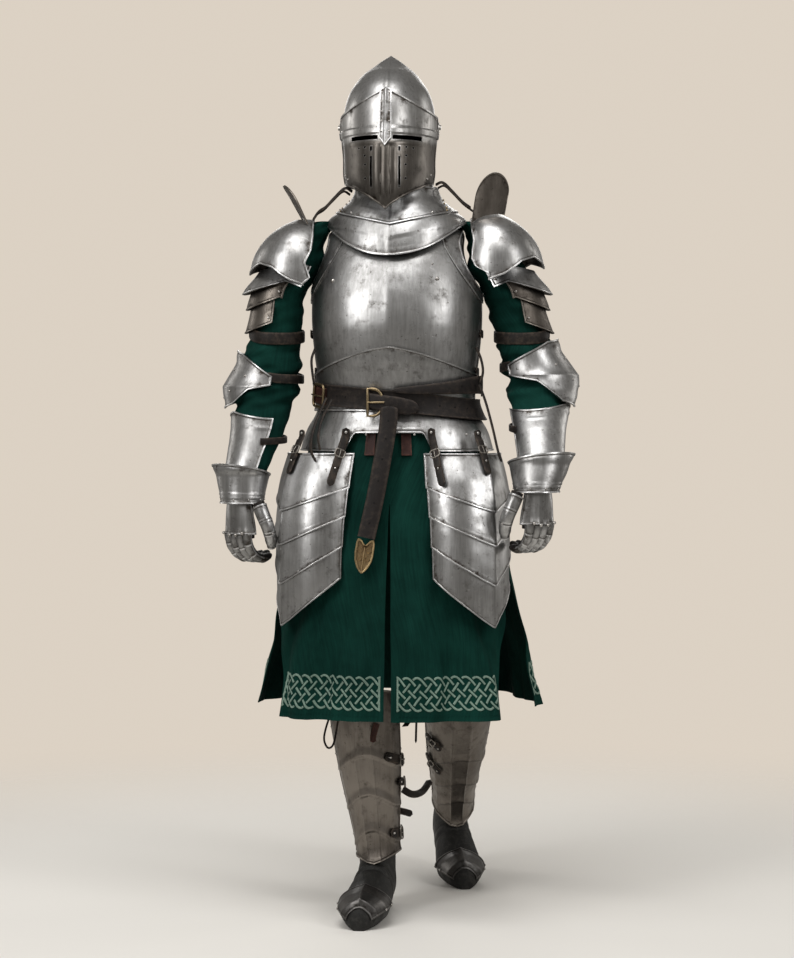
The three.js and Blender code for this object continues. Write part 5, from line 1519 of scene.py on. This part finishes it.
def gauntletPieces():
    for label, arm in arms.items():
        node, mirror, spot = label.lower(), -arm["side"], "hand" + label
        cuff = formSurface(cuffForms[label], arm["cuffEnd"], lambda angle, arm=arm: arm["cuffRim"] + 14 * np.cos(
            np.radians(angle - arm["turn"])), 0, 360, lambda angle, z,
            arm=arm: 3.0 * smooth((z - arm["cuffRim"] + 14) / 16))
        wrist = lambda low, top, start, end: 1.5 * (hump(low, 13, 2.0) + hump(low, 20, 1.6)) + 0.8 * hump(top, 9, 1.4)
        addPiece(f"gauntletCuff{label}", shell(cuff, wrap=True, step=3.6, rim=2.2, border=wrist), "suit",
                 agedSteel, "steel",
                 [f"gauntlet_cuff_{node}"])
        for angle in (-60, -20, 20, 60, 100, 140, 180, 220, 260):
            dotOnForm("rivet", "suit", cuffForms[label], angle, arm["cuffEnd"] + 8, 1.2, 2.0)

        def back(u, v):
            angle = (2 * u - 1) * (92 - 12 * smooth((v - 0.1) / 0.6))
            length = hand["palm"] - 2 - (hand["palm"] - 2) * v
            knuckles = sum(hump(handWide(length) * np.sin(np.radians(angle)), x, 7.5) for x, *_ in fingers)
            tendons = knuckles * smooth((length - 10) / 60)
            return handPoint(length, angle, 1.5 + tendons + 2.6 * knuckles * hump(length, 80, 9))
        addPiece(f"gauntletHand{label}", shell(back, step=2.6, rim=0.9, beaten=0.15, facing=(0, -1, 0)), spot,
                 agedSteel, "steel",
                 [f"gauntlet_hand_{node}"])
        plates, leatherTubes = [], []
        for x, start, end, lift, radius in fingers:
            plates += fingerLames(x, start, end, radius, lift)
            leatherTubes.append(gloveFinger(x, start, end, radius, lift))
            place, outward = handLine(np.array(start - 1.0))
            dot("knuckle", spot, place + np.array([x, 0, 0]) + outward * (lift + radius + 5.0), outward, 3.6)
        addPiece(f"gauntletFingers{label}", plates, spot, agedSteel, "steel", [f"gauntlet_fingers_{node}"])

        thumb = []
        path = thumbPath(mirror, 60)
        for first, last, size in ((4, 26, 14.5), (20, 42, 13.6), (36, 59, 12.6)):
            piece = path[first:last]
            share = np.linspace(0, 1, len(piece))
            radius = size + 0.8 * (1 - share) - (3.5 * smooth((share - 0.6) / 0.4) if last == 59 else 0)
            thumb.append(halfTube(piece, radius, mirror))
        addPiece(f"gauntletThumb{label}", thumb, spot, agedSteel, "steel", [f"gauntlet_thumb_{node}"])
        for at in (8, 24, 40):
            dot("rivet", spot, path[at] + np.array([mirror * 13.6, -4.5, 0]), (mirror, -0.3, 0), 2.0)
        leatherTubes.append(tube(path, np.interp(np.linspace(0, 1, 60), [0, 0.2, 0.9, 1], [13, 12.2, 9.6, 4]), 14))

        def palm(u, v):
            return handPoint(hand["palm"] + 6 - (hand["palm"] + 26) * v, 360 * u, -4.5 + 0 * u)
        ends = np.array([handLine(np.array(hand["palm"] + 10.0))[0], handLine(np.array(hand["palm"] + 8.0))[0]])
        leatherTubes.append(shell(palm, thick=1.8, wrap=True, step=4, rim=0, beaten=0.5, poleBottom=ends))
        addPiece(f"glove{label}", leatherTubes, spot, beltLeather, "leather", [f"glove_{node}"])


# A lame over the back of the thumb, open on the palm side.
def halfTube(path, radius, mirror):
    ahead = tangents(path, False)
    outward = np.array([mirror * 0.72, -0.69, 0.0])
    outward = outward - ahead * (ahead @ outward)[:, None]
    outward /= np.linalg.norm(outward, axis=1, keepdims=True)
    across = np.cross(ahead, outward)

    def surface(u, v):
        at = np.clip((1 - v) * (len(path) - 1), 0, len(path) - 1)
        low = np.minimum(at.astype(int), len(path) - 2)
        t = (at - low)[..., None]
        pick = lambda values: values[low] * (1 - t) + values[low + 1] * t
        angle = np.radians((2 * u - 1) * 112)[..., None]
        size = (np.interp(at, np.arange(len(path)),
                          radius) * (1 + 0.05 * np.exp(-np.abs(2 * u - 1) / 0.12)))[..., None]
        return pick(path) + size * (np.cos(angle) * pick(outward) + np.sin(angle) * pick(across))
    return shell(surface, thick=1.2, step=2.6, rim=0.5, beaten=0.1, facing=(mirror * 0.72, -0.69, 0))


gauntletPieces()
print("gauntlets made")

# Greaves and boots

greaveForm = makeForm([
    (0, 0, 0, 51, 70, 65), (34, 0, 0, 48, 61, 61), (95, 0, -2, 54, 60, 62), (190, 0, -6, 66, 64, 74),
    (270, 0, -10, 73, 66, 79), (325, 0, -14, 75, 66, 76), (390, 0, -18, 68, 64, 66),
], 1.95)
greave = {"chevrons": {"R": (236, 148, 70), "L": (214, 132, 70)}, "chevronDrop": 34, "step": 3.0, "keelSpread": 16}


def greaveOut(label):
    def out(angle, z):
        fromFront = np.abs((angle + 180) % 360 - 180)
        # three flat facets meet in two soft edges beside the shin
        lift = 2.6 * np.exp(-np.abs(fromFront - greave["keelSpread"]) / 3.0) - 1.2 * hump(fromFront, 0, 9)
        lift = lift + 1.4 * np.exp(-np.abs(fromFront - 58) / 3.0)
        for height in greave["chevrons"][label]:
            line = height - greave["chevronDrop"] * smooth(fromFront / 75)
            lift = lift + greave["step"] * smooth((z - line) / 1.6) * smooth((line + 26 - z) / 24)
        return lift + 3.0 * smooth((16 - z) / 16)
    return out


bootTable = np.array([
    (-237, 36, -8, 40, 16), (-226, 56, 0, 60, 34), (-194, 67, 0, 72, 47), (-153, 73, 0, 78, 53),
    (-113, 84, 0, 89, 51),
    (-76, 99, 0, 104, 46), (-56, 112, 22, 126, 42), (-52, 124, 44, 163, 40), (-49, 142, 68, 121, 40),
    (-47, 170, 88, 104, 42), (-47, 205, 90, 104, 42)], float)


# A point of the boot; at counts along the rows of the table, angle 0 is the upper line.
def bootPoint(at, angle, out, leg):
    topY, topZ, tilt, length, wide = (np.interp(at, np.arange(len(bootTable)), column) for column in bootTable.T)
    tilt, half = np.radians(tilt), length / 2
    along = half - (half + out) * np.cos(np.radians(angle))
    point = np.stack([(wide + out) * np.sin(np.radians(angle)), topY + np.sin(tilt) * along,
                      np.maximum(topZ - np.cos(tilt) * along, 0)], -1)
    return flexed(point, leg["pitch"], leg["lean"])


def bootCreases(at, angle):
    top = np.abs((angle + 180) % 360 - 180)
    upper = smooth((118 - top) / 40)
    creases = -2.6 * hump(at, 5.1 + 0.004 * top, 0.13) - 2.2 * hump(at, 6.0 + 0.003 * top,
        0.16) - 1.6 * hump(at, 7.4, 0.25)
    swell = 1.6 * hump(at, 5.6, 0.3) + 1.2 * hump(at, 6.7, 0.35)
    slack = 0.8 * np.sin(at * 5.0 + np.radians(angle) * 2) * smooth((at - 4) / 2)
    return upper * (creases + swell) + slack


def legPieces():
    for label, leg in legs.items():
        node, foot, shin = label.lower(), "foot" + label, "shin" + label
        last = len(bootTable) - 1

        def bootSurface(u, v):
            angle = 180 + 360 * u
            return bootPoint(last * v, angle, bootCreases(last * v, angle), leg)
        tip = flexed(np.array([[0.0, -241, 18], [0.0, -238, 18]]), leg["pitch"], leg["lean"])
        addPiece(f"boot{label}", shell(bootSurface, thick=3, wrap=True, rows=110, cols=80, rim=0, beaten=0.5,
                                       poleBottom=tip), foot,
                 bootLeather, "boot_leather", [f"boot_{node}"])

        # the sole's welt round the foot
        at = np.concatenate([np.linspace(7.0, 0.35, 60), np.linspace(0.35, 7.0, 60)])
        side = np.concatenate([np.ones(60), -np.ones(60)])
        near = bootPoint(at, side * 150, 1.5, leg)
        under = bootPoint(at, side * 168, 1.0, leg)
        welt = near * 0.55 + under * 0.45
        welt[:, 2] = np.maximum(welt[:, 2], 4.2)
        addPiece(f"bootWelt{label}", tube(welt, 3.6, 8), foot, beltLeather, "boot_leather")

        def cap(u, v):
            angle = -84 + 168 * u
            at = np.maximum(3 * v, 0.25)
            keel = 5.5 * np.exp(-np.abs(angle) / 7.0) * smooth((at - 0.2) / 0.8)
            return bootPoint(at, angle, 6 + keel - 1.2 * hump(np.abs(angle), 40, 16), leg)
        addPiece(f"toeCap{label}", shell(cap, step=2.6, rim=1.0, beaten=0.5, facing=(0, -0.3, 1)), foot,
                 toeSteel, "dark_steel", [f"toe_cap_{node}"])
        for angle in (-80, 80):
            for at in (1.9, 2.8):
                place = bootPoint(np.array(at), np.array(angle), 8.0, leg)
                dot("rivet", foot, place, (1 if angle > 0 else -1, 0, 0.1), 3.0)

        surface = formSurface(greaveForm, lambda angle: 16 * sine(angle),
                              lambda angle: 366 + 16 * np.cos(np.radians(angle)), 0, 360,
                              greaveOut(label))
        addPiece(f"greave{label}", shell(surface, wrap=True, step=3.0, rim=1.5), shin, greaveSteel, "steel",
                 [f"greave_{node}"])
        for angle in (-88, 88):
            for z in (60, 150, 205, 240, 300):
                dotOnForm("rivet", shin, greaveForm, angle, z, 1.8, 3.0)
            seam = formPoint(greaveForm, np.full(40, angle), np.linspace(22, 360, 40), 0.8)
            addPiece(f"greaveHinge{label}{'R' if angle < 0 else 'L'}", tube(seam, 1.6, 8), shin, greaveSteel, "steel")
        legStraps(label, shin)


def shinPath(pairs, out, count=24):
    knots = curveThrough([(angle, z, 0) for angle, z in pairs], count)
    path = formPoint(greaveForm, knots[:, 0], knots[:, 1], out)
    facing = formPoint(greaveForm, knots[:, 0], knots[:, 1], out + 10) - path
    return path, facing / 10


def legStraps(label, shin):
    runs = {
        "R": [([(38, 232), (62, 222), (90, 214), (118, 214)], 21), ([(44, 62), (66, 58), (92, 56), (120, 60)], 20),
              ([(70, 170), (92, 166), (120, 164)], 17)],
        "L": [([(-74, 268), (-52, 258), (-36, 246)], 20), ([(-80, 196), (-58, 182), (-38, 164)], 19)],
    }[label]
    parts = []
    for pairs, width in runs:
        path, facing = shinPath(pairs, 4.5)
        parts.append(strap(path, facing, width, 3, tip=8, startTip=8))
        dot("rivet", shin, path[3] + facing[3] * 3.4, facing[3], 2.8)
        dot("rivet", shin, path[-5] + facing[-5] * 3.4, facing[-5], 2.4)
        right = (path[13] - path[9]) / np.linalg.norm(path[13] - path[9])
        up = np.cross(facing[11], right)
        frameParts = buckleFrame(path[11] + facing[11] * 5.2, right, up, facing[11], 7, width / 2 + 3, 1.7, 3.6)
        addPiece(f"legBuckle{label}{len(parts)}", frameParts, shin, buckleSteel, "steel")
    addPiece(f"legStraps{label}", parts, shin, strapLeather, "leather")


legPieces()
print("legs made")

# Laces, side straps and the leather at the neck


def lacePieces():
    laces = [
        # spot, points, width
        ("suit", [(-150, -118, 1122), (-164, -128, 1090), (-178, -150, 1050), (-182, -156, 1012),
                  (-170, -160, 985)], 6),
        ("suit", [(-138, -126, 1118), (-158, -140, 1078), (-166, -158, 1040), (-162, -164, 1010)], 5),
        ("suit", [(176, -92, 1150), (190, -96, 1110), (203, -110, 1060), (214, -128, 1010), (222, -130, 985)], 6),
        ("suit", [(-176, -34, 1230), (-184, -40, 1205), (-182, -44, 1175), (-178, -46, 1150)], 6),
        ("suit", [(170, -66, 1230), (180, -70, 1205), (184, -74, 1178), (178, -78, 1152)], 6),
    ]
    parts = []
    for spot, points, width in laces:
        path = curveThrough(points, 30)
        outward = np.stack([np.sign(path[:, 0]) * 0.5, np.full(30, -0.85), np.zeros(30)], -1)
        parts.append(strap(path, outward, width, 2.2, tip=4))
    addPiece("sideLaces", parts, "suit", strapLeather, "leather")

    # straps from the helmet's lower corners over the collar to the shoulders
    neck = []
    for side, points in ((-1, [(-97, -42, 1566), (-112, -46, 1572), (-134, -44, 1552), (-152, -36, 1534),
                               (-168, -26, 1524), (-180, -18, 1508)]),
                         (1, [(84, -46, 1580), (98, -50, 1584), (116, -48, 1568), (138, -40, 1546),
                              (158, -30, 1532)])):
        path = curveThrough(points, 30)
        neck.append(strap(path, (side * 0.35, -0.55, 0.75), 10, 2.6))
        path = curveThrough([(x + side * 5, y + 14, z - 6) for x, y, z in points], 30)
        neck.append(strap(path, (side * 0.35, -0.45, 0.8), 9, 2.6))
    addPiece("neckStraps", neck, "suit", strapLeather, "leather")

    # two straps on each side that close the cuirass
    sides = []
    for side in (-1, 1):
        for z in (1262, 1180):
            path, facing = trunkPath([(side * 80, z), (side * 92, z - 2), (side * 104, z)], 2.6, 16)
            sides.append(strap(path, facing, 18, 2.6, tip=5, startTip=5))
    addPiece("cuirassSideStraps", sides, "trunk", strapLeather, "leather")

    # the thong that hangs in a loop under the hem, and the tab on the greave
    loop = curveThrough([(-136, -38, 452), (-150, -46, 420), (-158, -50, 385), (-150, -52, 365), (-138, -50, 372),
                         (-130, -44, 410), (-124, -38, 450)], 40)
    addPiece("kneeThong", strap(loop, (0, -1, 0.1), 4.5, 2.4), "suit", strapLeather, "leather")
    path, facing = shinPath([(28, 306), (24, 292), (20, 278), (19, 266)], 3.5, 16)
    addPiece("greaveTab", strap(path, facing, 13, 2.6, tip=3), "shinR", redLeather, "leather")
    # loose ends between the shins
    ends = [strap(curveThrough([(18, 0, 404), (34, 60, 418), (56, 130, 428), (74, 190, 430)], 26),
                  (-0.3, -0.9, 0.2), 14, 2.6),
            strap(curveThrough([(44, 110, 424), (43, 112, 390), (42, 112, 352)], 16), (0, -1, 0.1), 5, 2.2, tip=5),
            strap(curveThrough([(12, 30, 262), (34, 34, 250), (56, 60, 252), (74, 110, 268)], 26),
                  (-0.2, -0.95, 0.1), 16, 2.8, tip=6),
            strap(curveThrough([(2, 34, 214), (16, 30, 212), (34, 32, 206)], 14), (0, -1, 0.1), 15, 2.8, tip=6)]
    addPiece("legStrapEnds", ends, "suit", strapLeather, "leather")


lacePieces()

# Rivet heads, studs and punched holes, made on a list of places by Geometry Nodes; a hole is a flat near-black disc
# of painted shade

dotKinds = {
    "rivet": {"material": rivetSteel, "slot": "steel", "dome": 0.62, "segments": 14},
    "knuckle": {"material": rivetSteel, "slot": "steel", "dome": 1.0, "segments": 16},
    "brassRivet": {"material": oldBrass, "slot": "brass", "dome": 0.7, "segments": 12},
    "hole": {"material": holeShade, "slot": "leather", "dome": 0.16, "segments": 14},
}


def headTree():
    tree = bpy.data.node_groups.new("round heads", "GeometryNodeTree")
    tree.interface.new_socket("Places", in_out="INPUT", socket_type="NodeSocketGeometry")
    sizes = {"Dome": ("NodeSocketFloat", 0.6), "Segments": ("NodeSocketInt", 14),
             "Finish": ("NodeSocketMaterial", None)}
    for label, (kind, value) in sizes.items():
        socket = tree.interface.new_socket(label, in_out="INPUT", socket_type=kind)
        if value is not None:
            socket.default_value = value
    tree.interface.new_socket("Heads", in_out="OUTPUT", socket_type="NodeSocketGeometry")
    given, result = tree.nodes.new("NodeGroupInput").outputs, tree.nodes.new("NodeGroupOutput").inputs
    ball = addNode(tree, "GeometryNodeMeshUVSphere", {"Segments": given["Segments"], "Rings": 8, "Radius": 1.0})
    flat = addNode(tree, "ShaderNodeCombineXYZ", {"X": 1.0, "Y": 1.0, "Z": given["Dome"]})
    head = addNode(tree, "GeometryNodeTransform", {"Geometry": ball.outputs["Mesh"], "Scale": flat.outputs[0]})
    outward = addNode(tree, "GeometryNodeInputNamedAttribute", {"Name": "outward"}, data_type="FLOAT_VECTOR")
    radius = addNode(tree, "GeometryNodeInputNamedAttribute", {"Name": "headSize"}, data_type="FLOAT")
    turn = addNode(tree, "FunctionNodeAlignRotationToVector", {"Vector": outward.outputs[0]}, axis="Z")
    points = addNode(tree, "GeometryNodeMeshToPoints", {"Mesh": given["Places"]})
    spread = addNode(tree, "GeometryNodeInstanceOnPoints", {"Points": points.outputs[0], "Instance": head.outputs[0],
                     "Rotation": turn.outputs[0], "Scale": radius.outputs[0]})
    real = addNode(tree, "GeometryNodeRealizeInstances", {"Geometry": spread.outputs[0]})
    shaded = addNode(tree, "GeometryNodeSetShadeSmooth", {0: real.outputs[0]})
    dressed = addNode(tree, "GeometryNodeSetMaterial", {"Geometry": shaded.outputs[0], "Material": given["Finish"]})
    tree.links.new(dressed.outputs[0], result["Heads"])
    return tree


def dotPieces():
    tree = headTree()
    keys = {item.name: item.identifier for item in tree.interface.items_tree if item.in_out == "INPUT"}
    for (kind, body), entries in dotLists.items():
        look = dotKinds[kind]
        mesh = bpy.data.meshes.new("places")
        mesh.from_pydata([tuple(place) for place, _, _ in entries], [], [])
        mesh.attributes.new("outward", "FLOAT_VECTOR", "POINT").data.foreach_set(
            "vector", np.array([normal for _, normal, _ in entries]).ravel())
        mesh.attributes.new("headSize", "FLOAT", "POINT").data.foreach_set("value",
            [radius for _, _, radius in entries])
        piece = bpy.data.objects.new(f"{kind}Heads{body.capitalize()}", mesh)
        bpy.context.scene.collection.objects.link(piece)
        modifier = piece.modifiers.new("heads", "NODES")
        modifier.node_group = tree
        modifier[keys["Dome"]] = look["dome"]
        modifier[keys["Segments"]] = look["segments"]
        modifier[keys["Finish"]] = look["material"]
        graph = bpy.context.evaluated_depsgraph_get()
        made = bpy.data.meshes.new_from_object(piece.evaluated_get(graph), preserve_all_data_layers=True,
                                               depsgraph=graph)
        piece.modifiers.clear()
        piece.data = made
        edge = made.attributes.get("edge") or made.attributes.new("edge", "FLOAT", "POINT")
        edge.data.foreach_set("value", np.full(len(made.vertices), 0.1))
        finishPiece(piece, look["material"], look["slot"], body=body)


dotPieces()
print("heads and holes made")

# The floor: a pale disc that fades into the wall's colour behind it


def addStage():
    material = bpy.data.materials.new("studio paper")
    material.use_nodes = True
    tree = material.node_tree
    surface = tree.nodes["Principled BSDF"]
    surface.inputs["Base Color"].default_value = (*backdrop["paper"], 1)
    surface.inputs["Roughness"].default_value = 0.9
    where = addNode(tree, "ShaderNodeTexCoord").outputs["Object"]
    flat = addNode(tree, "ShaderNodeVectorMath", {0: where, 1: (1, 1, 0)}, operation="MULTIPLY").outputs[0]
    far = addNode(tree, "ShaderNodeVectorMath", {0: flat}, operation="LENGTH").outputs["Value"]
    clear = addNode(tree, "ShaderNodeBsdfTransparent")
    fade = remap(tree, far, backdrop["fadeFrom"], backdrop["fadeTo"])
    both = addNode(tree, "ShaderNodeMixShader", {0: fade, 1: surface.outputs[0], 2: clear.outputs[0]})
    tree.links.new(both.outputs[0], tree.nodes["Material Output"].inputs["Surface"])
    turn = np.linspace(0, 2 * np.pi, 97)[:-1]
    points = [(backdrop["radius"] * math.cos(t), backdrop["radius"] * math.sin(t), floorZ) for t in turn]
    mesh = bpy.data.meshes.new("studioFloor")
    mesh.from_pydata(points, [], [tuple(range(96))])
    mesh.materials.append(material)
    part = bpy.data.objects.new("studioFloor", mesh)
    bpy.context.scene.collection.objects.link(part)


addStage()

print("scene made")
